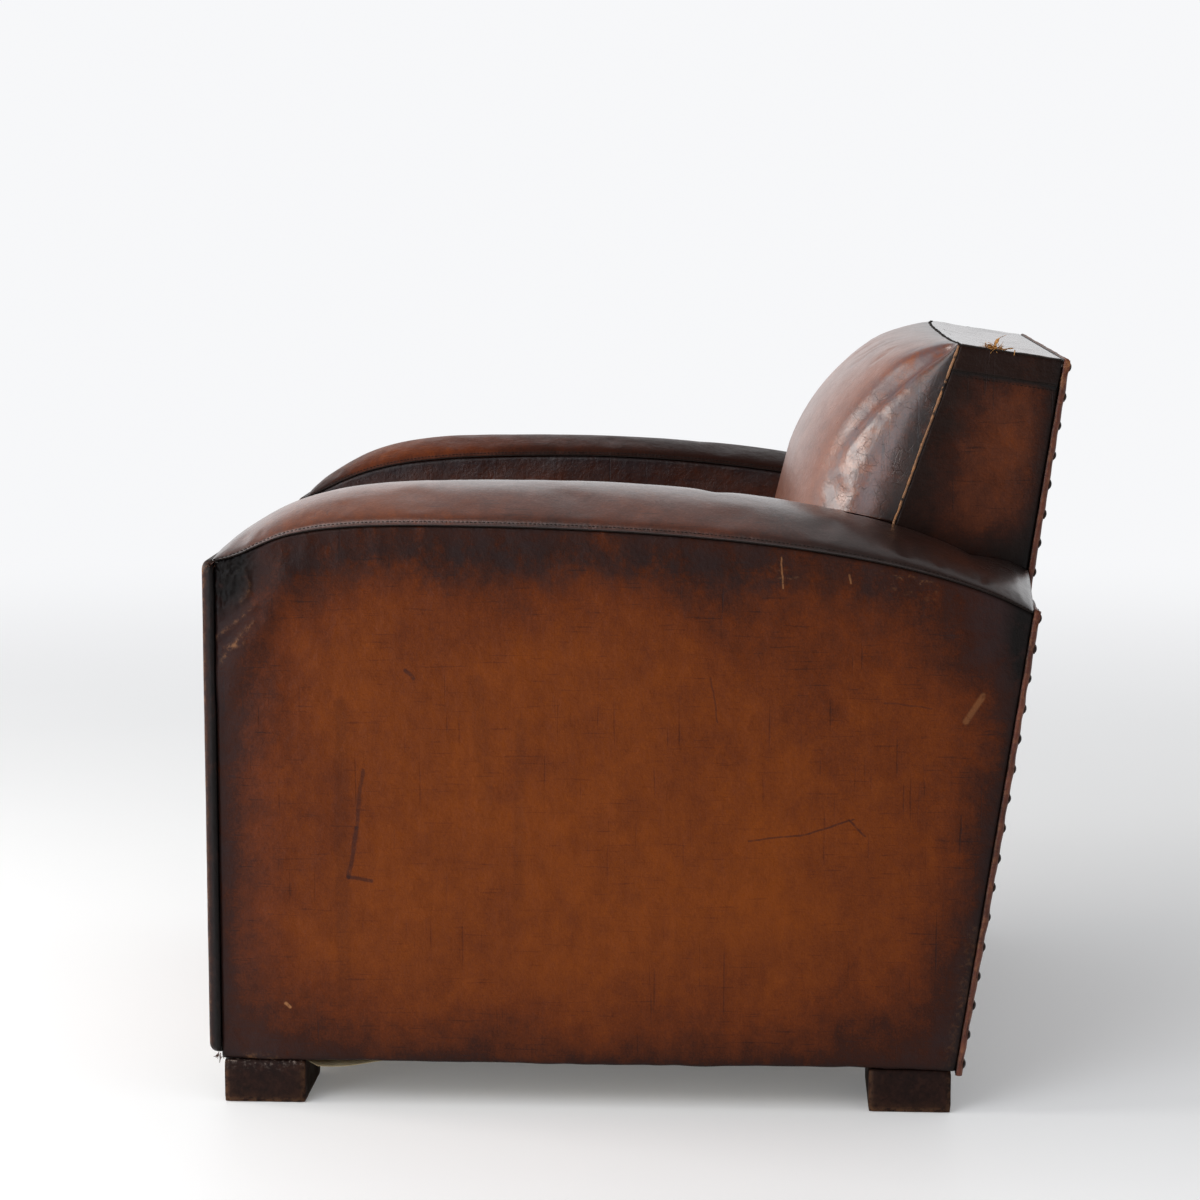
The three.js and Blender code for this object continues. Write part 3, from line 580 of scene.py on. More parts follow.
def leather(name, bright=HONEY, middle=CHESTNUT, deep=UMBER, edge=PLUM, roughness=0.42, shine=0.25, coat=0.0,
            coat_roughness=0.25, relief=1.0, marks=(), seed=0.0, cracked=False):
    """Waxed hide: blotched and streaked, dark where patina is kept, tinted where smudges and painted sheen are kept,
    pale where rubbed and where a highlight is painted, black with soot and painted shade.
    """
    n = Nodes(name, roughness)
    n.shade({"Specular IOR Level": shine, "Coat Weight": coat, "Coat Roughness": coat_roughness})
    shift = (seed, seed * 0.7, seed * 1.3)
    place = n.scaled((1.0, 1.0, 1.0), shift=shift)
    cloud = n.noise(9.0, 5.0, 0.6, place)
    mottle = n.noise(48.0, 7.0, 0.68, place)
    streak = n.noise(1.0, 6.0, 0.65, n.scaled((30.0, 75.0, 7.0), shift=shift))
    fleck = n.noise(460.0, 3.0, 0.7, place)
    hair = n.noise(1.0, 3.0, 0.6, n.scaled((200.0, 22.0, 520.0), (0.06, 0.0, 0.0), shift))
    hair = n.range(hair, 0.60, 0.70)
    scratch = n.noise(1.0, 2.0, 0.5, n.scaled((60.0, 260.0, 9.0), (0.35, 0.0, 0.0), shift))
    scratch = n.times(n.range(scratch, 0.66, 0.71), n.range(cloud, 0.48, 0.6))
    tone = n.kept("patina")
    for value, share in ((cloud, 0.72), (mottle, 0.56), (streak, 0.2), (fleck, 0.42)):
        tone = n.swing(value, share, tone)
    tone = n.math("MULTIPLY_ADD", hair, 0.17, tone)
    tone = n.math("MULTIPLY_ADD", scratch, 0.16, tone, clamp=True)
    base = n.ramp(tone, [(0.0, bright), (0.36, middle), (0.7, deep), (1.0, edge)])
    # Tint towards the edge colour for smudges; on the inside back the same tint is a painted sheen.
    smudge = n.times(n.kept("smudge"), n.range(mottle, 0.38, 0.6))
    base = n.mix(n.times(smudge, 0.7), base, edge)
    grit = n.noise(150.0, 6.0, 0.75, place)
    # Pale tan for wear; in places the same pale is a painted highlight.
    rub = n.times(n.kept("rub"), n.range(grit, 0.45, 0.66))
    base = n.mix(rub, base, TAN)
    # Near black for soot, and for painted shade in gaps, seam grooves and the torn hole.
    black = n.times(n.kept("soot"), n.range(mottle, 0.2, 0.5))
    base = n.mix(black, base, SOOT_AND_SHADE)
    if cracked:
        warped = n.warped(place, 22.0, 0.012)
        crack = n.range(n.cells(85.0, "DISTANCE_TO_EDGE", warped), 0.0, 0.035)
        fine_crack = n.range(n.cells(190.0, "DISTANCE_TO_EDGE", warped), 0.0, 0.05)
        crack = n.math("SUBTRACT", 1.0, n.times(crack, n.math("MULTIPLY_ADD", fine_crack, 0.4, 0.6)))
        crack = n.times(crack, n.range(n.noise(60.0, 3.0, 0.6, place), 0.42, 0.58))
        crackle = n.times(n.kept("crackle"), crack)
        base = n.mix(n.times(crackle, 0.7), base, deep)
    for start, end, width, strength, tint in marks:
        broken = n.range(grit, 0.34, 0.52, 0.35, 1.0)
        stroke = n.times(n.mark(start, end, width), n.times(broken, strength))
        base = n.mix(stroke, base, tint)
    gloss = n.swing(fleck, 0.25, n.swing(mottle, 0.35, roughness))
    gloss = n.math("MULTIPLY_ADD", rub, 0.2, gloss, clamp=True)
    pores = n.times(n.cells(850.0), 0.4)
    height = n.math("MULTIPLY_ADD", n.noise(240.0, 4.0, 0.65, place), 0.7, pores)
    if cracked:
        height = n.math("MULTIPLY_ADD", crackle, -1.6, height)
    height = n.math("MULTIPLY_ADD", scratch, -0.5, height)
    fine = n.bump(height, 0.00032 * relief)
    soft = n.bump(n.noise(30.0, 4.0, 0.55, place), 0.0028 * relief, under=fine)
    n.shade({"Base Color": base, "Roughness": gloss, "Normal": soft})
    return n.material


# The black of the stitches, and of the cords that are painted shade in the seam grooves.
def thread_and_shade_material():
    n = Nodes("black_thread_and_shade", 0.8)
    tone = n.noise(900.0, 2.0)
    base = n.ramp(tone, [(0.3, "0d0a09"), (0.7, "2a201b")])
    n.shade({"Specular IOR Level": 0.15, "Base Color": base, "Normal": n.bump(tone, 0.0002)})
    return n.material


def nail_material():
    n = Nodes("patinated_nails", 0.42)
    tone = n.noise(300.0, 4.0, 0.6)
    n.shade({"Base Color": n.ramp(tone, [(0.35, "120d0c"), (0.75, "38241b")]), "Metallic": 0.5,
             "Roughness": n.range(tone, 0.3, 0.7, 0.35, 0.6), "Normal": n.bump(n.noise(700.0, 3.0), 0.0002)})
    return n.material


def foot_material():
    """Dark stained beech, rubbed paler on its edges and dusty at the top."""
    n = Nodes("stained_feet", 0.5)
    grain = n.noise(1.0, 6.0, 0.65, n.scaled((14.0, 160.0, 160.0)), 0.4)
    blot = n.noise(30.0, 5.0, 0.6)
    base = n.ramp(grain, [(0.25, "170d0a"), (0.5, "251510"), (0.8, "372018")])
    base = n.mix(n.range(blot, 0.35, 0.75, 0.0, 0.5), base, "191010")
    worn = n.times(n.kept("rub"), n.range(n.noise(160.0, 5.0, 0.7), 0.36, 0.6))
    base = n.mix(n.times(worn, 0.6), base, "6b4a33")
    dust = n.times(n.kept("dust"), n.range(n.noise(220.0, 5.0, 0.75), 0.5, 0.72))
    base = n.mix(dust, base, "8f7f75")
    n.shade({"Specular IOR Level": 0.1, "Base Color": base, "Roughness": n.range(blot, 0.3, 0.8, 0.42, 0.62),
             "Normal": n.bump(grain, 0.0004)})
    return n.material


def wood_material():
    """Old planed beech of the hidden frame."""
    n = Nodes("old_beech", 0.7)
    grain = n.noise(1.0, 6.0, 0.6, n.scaled((90.0, 12.0, 90.0)), 0.6)
    fleck = n.noise(420.0, 3.0, 0.7)
    base = n.ramp(grain, [(0.3, "8c6437"), (0.55, "ab8350"), (0.8, "bf9a68")])
    base = n.mix(n.range(fleck, 0.5, 0.7, 0.0, 0.35), base, "6f4c2a")
    n.shade({"Base Color": base, "Normal": n.bump(grain, 0.0005)})
    return n.material


def weave_material(name, thread, light, dark, along=1):
    """A plain weave of a thread's width, over and under along x and one other axis."""
    n = Nodes(name, 0.92)
    split = n.add("ShaderNodeSeparateXYZ")
    n.put(split.inputs[0], n.place)
    waves = [n.math("SINE", n.times(split.outputs[i], 2 * math.pi / thread)) for i in (0, along)]
    crossed = n.times(*waves)
    height = n.math("MULTIPLY_ADD", crossed, 0.5, n.noise(600.0, 4.0, 0.7))
    base = n.ramp(n.math("MULTIPLY_ADD", crossed, 0.22, n.noise(25.0, 4.0)), [(0.25, dark), (0.75, light)])
    n.shade({"Base Color": base, "Normal": n.bump(height, 0.0006)})
    return n.material


def straw_material():
    n = Nodes("straw", 0.85)
    tone = n.noise(1.0, 4.0, 0.6, n.scaled((500.0, 500.0, 90.0)))
    stops = [(0.3, "6b4320"), (0.55, "b07a3c"), (0.8, "dcae6c")]
    n.shade({"Base Color": n.ramp(tone, stops), "Normal": n.bump(tone, 0.0008)})
    return n.material


def steel_material():
    n = Nodes("spring_wire", 0.4)
    rust = n.noise(90.0, 5.0, 0.7)
    base = n.ramp(rust, [(0.45, "6d6a66"), (0.7, "5b3a24")])
    n.shade({"Base Color": base, "Metallic": 0.9, "Roughness": n.range(rust, 0.4, 0.8, 0.3, 0.8)})
    return n.material


made_once = {}


def shared(name, make, *given, **settings):
    """A material or a node tree that is made once and shared."""
    if name not in made_once:
        made_once[name] = make(*given, **settings)
    return made_once[name]


def hide(name, **settings):
    """A leather by its name."""
    return shared(name, leather, name, **settings)


def weave(name, *given, **settings):
    return shared(name, weave_material, name, *given, **settings)


# Repeats along a line, made with geometry nodes
def repeat_tree(name, seed, scale_spread, tilt_spread, build_unit, follow_line):
    """A tree that sets a unit on each point of a line or a cloud of points."""
    tree = bpy.data.node_groups.new(name, "GeometryNodeTree")
    face = tree.interface
    face.new_socket("Geometry", in_out="INPUT", socket_type="NodeSocketGeometry")
    sockets = {}
    for label, kind in (("Pitch", "Float"), ("Length", "Float"), ("Width", "Float"), ("Finish", "Material")):
        sockets[label] = face.new_socket(label, in_out="INPUT", socket_type="NodeSocket" + kind)
    face.new_socket("Geometry", in_out="OUTPUT", socket_type="NodeSocketGeometry")
    add, link = tree.nodes.new, tree.links.new
    start, end = add("NodeGroupInput"), add("NodeGroupOutput")
    spread = add("GeometryNodeInstanceOnPoints")
    turn = add("FunctionNodeAlignRotationToVector")
    turn.axis = "X" if follow_line else "Z"
    if follow_line:
        line = add("GeometryNodeMeshToCurve")
        evenly = add("GeometryNodeResampleCurve")
        evenly.mode = "LENGTH"
        link(start.outputs["Geometry"], line.inputs[0])
        link(line.outputs[0], evenly.inputs["Curve"])
        link(start.outputs["Pitch"], evenly.inputs["Length"])
        tangent = add("GeometryNodeInputTangent")
        link(evenly.outputs[0], spread.inputs["Points"])
        link(tangent.outputs[0], turn.inputs["Vector"])
    else:
        outward = add("GeometryNodeInputNamedAttribute")
        outward.data_type = "FLOAT_VECTOR"
        outward.inputs["Name"].default_value = "facing"
        link(start.outputs["Geometry"], spread.inputs["Points"])
        link(outward.outputs["Attribute"], turn.inputs["Vector"])
    link(build_unit(tree, start), spread.inputs["Instance"])
    sway = add("FunctionNodeRandomValue")
    sway.data_type = "FLOAT_VECTOR"
    sway.inputs["Min"].default_value = (-tilt_spread,) * 3
    sway.inputs["Max"].default_value = (tilt_spread,) * 3
    sway.inputs["Seed"].default_value = seed
    rotate = add("FunctionNodeRotateRotation")
    rotate.rotation_space = "LOCAL"
    link(turn.outputs[0], rotate.inputs["Rotation"])
    link(sway.outputs["Value"], rotate.inputs["Rotate By"])
    link(rotate.outputs[0], spread.inputs["Rotation"])
    size = add("FunctionNodeRandomValue")
    size.data_type = "FLOAT"
    low, high = [s for s in size.inputs if s.name in ("Min", "Max") and s.enabled]
    low.default_value, high.default_value = 1 - scale_spread, 1 + scale_spread
    size.inputs["Seed"].default_value = seed + 1
    link(next(s for s in size.outputs if s.enabled), spread.inputs["Scale"])
    real = add("GeometryNodeRealizeInstances")
    coat = add("GeometryNodeSetMaterial")
    even = add("GeometryNodeSetShadeSmooth")
    link(spread.outputs[0], real.inputs[0])
    link(real.outputs[0], even.inputs[0])
    link(even.outputs[0], coat.inputs["Geometry"])
    link(start.outputs["Finish"], coat.inputs["Material"])
    link(coat.outputs[0], end.inputs[0])
    return tree, sockets


def primitive(tree, kind, **inputs):
    node = tree.nodes.new(kind)
    for name, value in inputs.items():
        node.inputs[name].default_value = value
    return node


def stretched(tree, shape, *lengths):
    """A shape scaled by three sockets."""
    size = tree.nodes.new("ShaderNodeCombineXYZ")
    for socket, value in zip(size.inputs, lengths):
        tree.links.new(value, socket)
    stretch = tree.nodes.new("GeometryNodeTransform")
    tree.links.new(shape, stretch.inputs["Geometry"])
    tree.links.new(size.outputs[0], stretch.inputs["Scale"])
    return stretch.outputs[0]


def stitch_unit(tree, start):
    """A short thread, thick in the middle and drawn in at its ends."""
    ball = primitive(tree, "GeometryNodeMeshIcoSphere", Radius=0.5, Subdivisions=1)
    width = start.outputs["Width"]
    return stretched(tree, ball.outputs["Mesh"], start.outputs["Length"], width, width)


def nail_unit(tree, start):
    """A domed nail head with a thin rim. Length is its height and Width its diameter."""
    dome = primitive(tree, "GeometryNodeMeshUVSphere", Segments=14, Rings=10, Radius=0.5)
    rim = primitive(tree, "GeometryNodeMeshCylinder", Vertices=14, Radius=0.56, Depth=0.3)
    both = tree.nodes.new("GeometryNodeJoinGeometry")
    tree.links.new(rim.outputs["Mesh"], both.inputs[0])
    tree.links.new(dome.outputs["Mesh"], both.inputs[0])
    double = tree.nodes.new("ShaderNodeMath")
    double.operation = "MULTIPLY"
    double.inputs[1].default_value = 2.0
    tree.links.new(start.outputs["Length"], double.inputs[0])
    width = start.outputs["Width"]
    return stretched(tree, both.outputs[0], width, width, double.outputs[0])


def repeated(name, mesh, tree, sockets, pitch, length, width, material):
    """A piece made by running a tree on a carrier mesh."""
    carrier = linked(name, mesh)
    modifier = carrier.modifiers.new("repeat", "NODES")
    modifier.node_group = tree
    for label, value in zip(("Pitch", "Length", "Width", "Finish"), (pitch, length, width, material)):
        modifier[sockets[label].identifier] = value
    dress(plain_mesh(carrier), material, "dark_leather")


def stitches(name, lines, material):
    """Rows of stitches along lines of points."""
    tree = shared("stitch_row", repeat_tree, "stitch_row", 3, 0.12, 0.16, stitch_unit, True)
    vertices, edges = [], []
    for line in lines:
        first = len(vertices)
        vertices += [tuple(p) for p in line]
        edges += [(first + i, first + i + 1) for i in range(len(line) - 1)]
    mesh = bpy.data.meshes.new(name)
    mesh.from_pydata(vertices, edges, [])
    s = sizes()
    repeated(name, mesh, *tree, s.stitch_pitch, s.stitch_length, s.stitch_width, material)


def nails(name, spots, outward, material):
    """Nail heads on spots, each standing out in its own direction."""
    tree = shared("nail_heads", repeat_tree, "nail_heads", 11, 0.06, 0.09, nail_unit, False)
    mesh = bpy.data.meshes.new(name)
    mesh.from_pydata([tuple(p) for p in spots], [], [])
    layer = mesh.attributes.new("facing", "FLOAT_VECTOR", "POINT")
    layer.data.foreach_set("vector", np.asarray(outward, np.float32).ravel())
    s = sizes()
    repeated(name, mesh, *tree, s.nail_pitch, s.nail_height, s.nail_width, material)


def loft(rings):
    """Points and faces of a skin over rings of points, with its ends closed."""
    count, sides = rings.shape[:2]
    faces = [list(q) for q in grid_quads(count, sides, True)]
    faces.append(list(range(sides))[::-1])
    faces.append([(count - 1) * sides + i for i in range(sides)])
    return rings.reshape(-1, 3), faces


def tube(line, radius, sides=8, closed=False):
    """Points and faces of a cord that follows a line, with its ends closed."""
    line = np.asarray(line, float)
    if closed:
        ahead, behind = np.roll(line, -1, 0), np.roll(line, 1, 0)
    else:
        ahead = np.concatenate([line[1:], line[-1:]])
        behind = np.concatenate([line[:1], line[:-1]])
    tangent = ahead - behind
    tangent /= np.linalg.norm(tangent, axis=1, keepdims=True)
    side = np.cross(tangent[0], (0.123, 0.37, 0.92))
    rings = []
    radius = np.broadcast_to(radius, len(line))
    for t, p, r in zip(tangent, line, radius):
        side = side - t * (side @ t)
        side /= np.linalg.norm(side)
        other = np.cross(t, side)
        angles = 2 * np.pi * np.arange(sides) / sides
        rings.append(p + r * (np.cos(angles)[:, None] * side + np.sin(angles)[:, None] * other))
    rings = np.array(rings)
    if not closed:
        return loft(rings)
    faces = [list(q) for q in grid_quads(len(line), sides, True)]
    shift = min(range(sides), key=lambda k: np.linalg.norm(rings[-1][0] - rings[0][k]))
    last = (len(line) - 1) * sides
    for i in range(sides):
        j = (i + 1) % sides
        faces.append([last + i, (i + shift) % sides, (j + shift) % sides, last + j])
    return rings.reshape(-1, 3), faces


def joined(name, parts):
    """One piece from the points and faces of several parts."""
    vertices, faces = [], []
    for points, quads in parts:
        first = sum(len(v) for v in vertices)
        vertices.append(points)
        faces += [[first + i for i in q] for q in quads]
    return new_piece(name, np.concatenate(vertices), faces)


# Sizes and lights that can be set
class ChairSizes(bpy.types.PropertyGroup):
    """Sizes of the leather work."""

    arm_crown: FloatProperty(
        name="Arm crown", description="Rise of the stuffed arm over its seams", default=0.022, unit="LENGTH")
    crown_front: FloatProperty(
        name="Crown front", description="Length over which the crown rises", default=0.18, unit="LENGTH")
    crown_rear: FloatProperty(
        name="Crown rear", description="Length over which the crown falls", default=0.33, unit="LENGTH")
    seam_edge: FloatProperty(
        name="Seam edge", description="Rise of the arm band beside its seams", default=0.004, unit="LENGTH")
    pillow_depth: FloatProperty(
        name="Back stuffing", description="Depth of the crowned inside back", default=0.12, unit="LENGTH")
    pillow_crown: FloatProperty(
        name="Crown of the back", description="Height over which the inside back rounds over", default=0.151,
        unit="LENGTH")
    stitch_pitch: FloatProperty(
        name="Stitch pitch", description="From stitch to stitch", default=0.0042, unit="LENGTH")
    stitch_length: FloatProperty(
        name="Stitch length", description="Length of a stitch", default=0.0034, unit="LENGTH")
    stitch_width: FloatProperty(
        name="Stitch width", description="Width of the thread", default=0.0009, unit="LENGTH")
    nail_width: FloatProperty(name="Nail", description="Diameter of a nail head", default=0.0095, unit="LENGTH")
    nail_height: FloatProperty(
        name="Nail height", description="Height of a nail head", default=0.0028, unit="LENGTH")
    nail_pitch: FloatProperty(
        name="Nail pitch", description="From nail to nail", default=0.0315, unit="LENGTH")
    piping_width: FloatProperty(
        name="Piping", description="Diameter of the piping cord", default=0.005, unit="LENGTH")


class StudioLight(bpy.types.PropertyGroup):
    """Lamps and backdrop."""

    key_power: FloatProperty(name="Key", description="Power of the large soft lamp", default=38.0, unit="POWER")
    window_power: FloatProperty(name="Window", description="Power of the front window", default=50.0, unit="POWER")
    side_power: FloatProperty(name="Side", description="Power of the tall side window", default=34.0, unit="POWER")
    room: FloatProperty(name="Room", description="Strength of the light from all sides", default=0.56)
    glow: FloatProperty(name="Floor glow", description="What the camera sees the floor brighter by", default=0.13)
    ceiling: FloatProperty(name="Ceiling", description="Share of the backdrop reflected from above", default=0.46)
    far_side: FloatProperty(
        name="Dark side", description="Share of the backdrop that is reflected from the camera's side", default=0.12)
    backdrop: FloatVectorProperty(
        name="Backdrop", description="Colour behind the chair", subtype="COLOR", size=3, default=(0.93, 0.935, 0.95))
    floor: FloatVectorProperty(
        name="Floor", description="Colour of the floor", subtype="COLOR", size=3, default=(0.87, 0.87, 0.875))


def sizes():
    return bpy.context.scene.club_chair_sizes


# Arms
def arm_crown_at(y):
    """Rise of the arm's crown over its seams at a depth."""
    s = sizes()
    nose = np.clip((y - SIDE_FRONT) / s.crown_front, 0, 1)
    tail = np.clip((ARM_REAR - y) / s.crown_rear, 0, 1)
    rise = np.sqrt(1 - (1 - nose) ** 2) * np.sqrt(1 - (1 - tail) ** 2)
    return s.seam_edge + s.arm_crown * rise


def seam_plane(y, share):
    """Height of the straight line between an arm's seams at a share of its width."""
    return outer_seam(y) * (1 - share) + inner_seam(y) * share


def arm_band_point(y, angle):
    """A point of the arm band: angle is 0 at the outer seam and pi at the inner one."""
    share = (1 - np.cos(angle)) / 2
    plane = seam_plane(y, share)
    x = ARM_OUTER - share * ARM_WIDTH
    bulge = 0.0018 * np.sin(2 * angle)
    z = plane + arm_crown_at(y) * np.sin(angle) ** 1.05
    return np.stack([x + bulge, y, z], -1)


def arm_band(side, sign):
    """The stuffed band over an arm, mitred to the rake of the back."""
    ys = SIDE_FRONT + (ARM_REAR - SIDE_FRONT) * spaced(168, 0.5)
    y, angle = np.meshgrid(ys, np.pi * np.linspace(0, 1, 44), indexing="ij")
    face = arm_band_point(y, angle)
    face[..., 2] += 0.0004 * ripple(face * (1, 0.6, 1), 0.05, 3 + sign) * np.sin(angle)
    mitre = BACK_FOOT + (face[..., 2] - COVER_BOTTOM) * math.tan(RAKE) - 0.0003
    face[..., 1] = np.where(y >= ARM_REAR - 1e-6, mitre, face[..., 1])
    face[..., 0] *= sign
    edge = np.minimum(angle, np.pi - angle) / (np.pi / 2)
    ends = np.minimum(y - SIDE_FRONT, ARM_REAR - y) / 0.03
    sewn = 1 - ease(0.05, 0.5, np.minimum(edge, ends))
    face = stuffed(f"{side}_arm_cloth", face, sewn, 1.5, 0.0016, 0.003)

    def share_at(points):
        return (ARM_OUTER - np.abs(points[:, 0])) / ARM_WIDTH

    def back(rim):
        made = rim.copy()
        made[:, 2] = np.minimum(made[:, 2], seam_plane(made[:, 1], share_at(made))) - CLEARANCE
        made[:, 0] = sign * np.clip(np.abs(made[:, 0]), ARM_INNER + 0.002, ARM_OUTER - 0.002)
        return made

    piece = shell(f"{side}_arm_band", face, back)
    cut_back_room(piece)
    p = positions(piece)
    across = np.minimum(ARM_OUTER - np.abs(p[:, 0]), np.abs(p[:, 0]) - ARM_INNER)
    seam = np.hypot(np.maximum(across, 0), np.maximum(p[:, 2] - seam_plane(p[:, 1], share_at(p)), 0))
    front = p[:, 1] - SIDE_FRONT
    length = ARM_REAR - SIDE_FRONT
    far = side == "right"
    patina = 0.40 + 0.25 * fade(seam, 0.008) - 0.30 * ease(0.02, 0.10, front) * ease(0.30, 0.14, front)
    # Painted shade: the rear part of the band darkens, and its rear end is painted black further down, where the back
    # shades it.
    patina += 0.55 * ease(0.60 * length, 0.82 * length, front) + 0.35 * fade(front, 0.02)
    # Painted shade: the far arm is darker, more so towards the back.
    patina += far * (0.15 + 0.4 * ease(0.25, 0.45, front))
    # Wear and painted highlight: paler near the front and along the crown, where the band catches a sheen.
    worn = 0.30 * bell(front - 0.06, 0.05) + 0.14 * ease(0.05, 0.075, seam) * ease(0.7, 0.5, front)
    # Painted shade: black along both seams, in their grooves.
    paint_all(piece, patina=patina, smudge=0.5 * fade(front, 0.03) + 0.5 * fade(seam, 0.006),
              rub=worn * ease(0.0, 0.05, seam), soot=0.9 * fade(seam, 0.0012) + 0.5 * fade(length - front, 0.02),
              crackle=0.3 * ease(0.02, 0.06, seam))
    # With this darker patina the far arm is a painted shaded copy of the near one, with less shine and no coat.
    material = hide(f"{side}_band_leather", middle="572813", edge="26110a", shine=0.12 if far else 0.45,
                    coat=0.0 if far else 1.0, coat_roughness=0.27, relief=0.8, seed=0.4, cracked=True)
    dress(piece, material, "leather", f"{side}_arm_top")


def cut_back_room(piece):
    """Cuts away what of an arm would lie in the back."""
    half = HALF_BACK + 0.0006
    low, high, rear = 0.30, BACK_TOP + 0.05, 0.06
    work = bmesh.new()
    ring = []
    for x in (-half, half):
        for w, v in ((low, front_v(low) - CLEARANCE), (low, rear), (high, rear), (high, front_v(high) - CLEARANCE)):
            ring.append(work.verts.new(from_back(x, v, w)))
    for f in ((0, 1, 2, 3), (7, 6, 5, 4), (0, 4, 5, 1), (1, 5, 6, 2), (2, 6, 7, 3), (3, 7, 4, 0)):
        work.faces.new([ring[i] for i in f])
    bmesh.ops.recalc_face_normals(work, faces=work.faces)
    cut_away(piece, settled("back_room", work))


# Folds near the top front corner: their ends as depth and height, then their rise and width
CORNER_FOLDS = (
    ((-0.426, 0.482), (-0.384, 0.516), 0.0022, 0.0045),
    ((-0.426, 0.468), (-0.396, 0.480), 0.0016, 0.0035),
    ((-0.426, 0.452), (-0.386, 0.500), 0.0020, 0.0055),
    ((-0.426, 0.440), (-0.370, 0.500), 0.0016, 0.0075),
    ((-0.414, 0.430), (-0.352, 0.548), 0.0034, 0.0160),
    ((-0.330, 0.588), (-0.333, 0.555), 0.0008, 0.0050),
    ((-0.300, 0.590), (-0.296, 0.560), 0.0008, 0.0060),
    ((-0.262, 0.594), (-0.255, 0.560), 0.0007, 0.0050),
)

# Marks on the side panels: their ends as depth and height, then their width, strength and colour
SIDE_MARKS = (
    ((-0.277, 0.349), (-0.283, 0.290), 0.0030, 0.5, PLUM),
    ((-0.283, 0.290), (-0.291, 0.240), 0.0032, 0.6, PLUM),
    ((-0.291, 0.240), (-0.268, 0.236), 0.0030, 0.6, PLUM),
    ((0.114, 0.281), (0.175, 0.289), 0.0014, 0.55, PLUM),
    ((0.175, 0.289), (0.219, 0.304), 0.0014, 0.6, PLUM),
    ((0.214, 0.303), (0.231, 0.287), 0.0016, 0.6, PLUM),
    ((-0.298, 0.417), (-0.297, 0.110), 0.010, 0.22, UMBER),
    ((-0.160, 0.440), (-0.150, 0.300), 0.012, 0.16, UMBER),
    ((-0.115, 0.400), (-0.120, 0.210), 0.008, 0.15, UMBER),
    ((0.346, 0.430), (0.330, 0.405), 0.0044, 0.24, TAN),
    ((0.1450, 0.569), (0.1468, 0.538), 0.0011, 0.45, TAN),
    ((0.212, 0.551), (0.2135, 0.543), 0.0014, 0.4, TAN),
    ((-0.358, 0.106), (-0.354, 0.102), 0.0022, 0.7, TAN),
    ((0.075, 0.447), (0.082, 0.402), 0.0013, 0.45, PLUM),
    ((-0.232, 0.452), (-0.224, 0.444), 0.0030, 0.6, PLUM),
    ((0.250, 0.424), (0.296, 0.418), 0.0012, 0.4, PLUM),
)


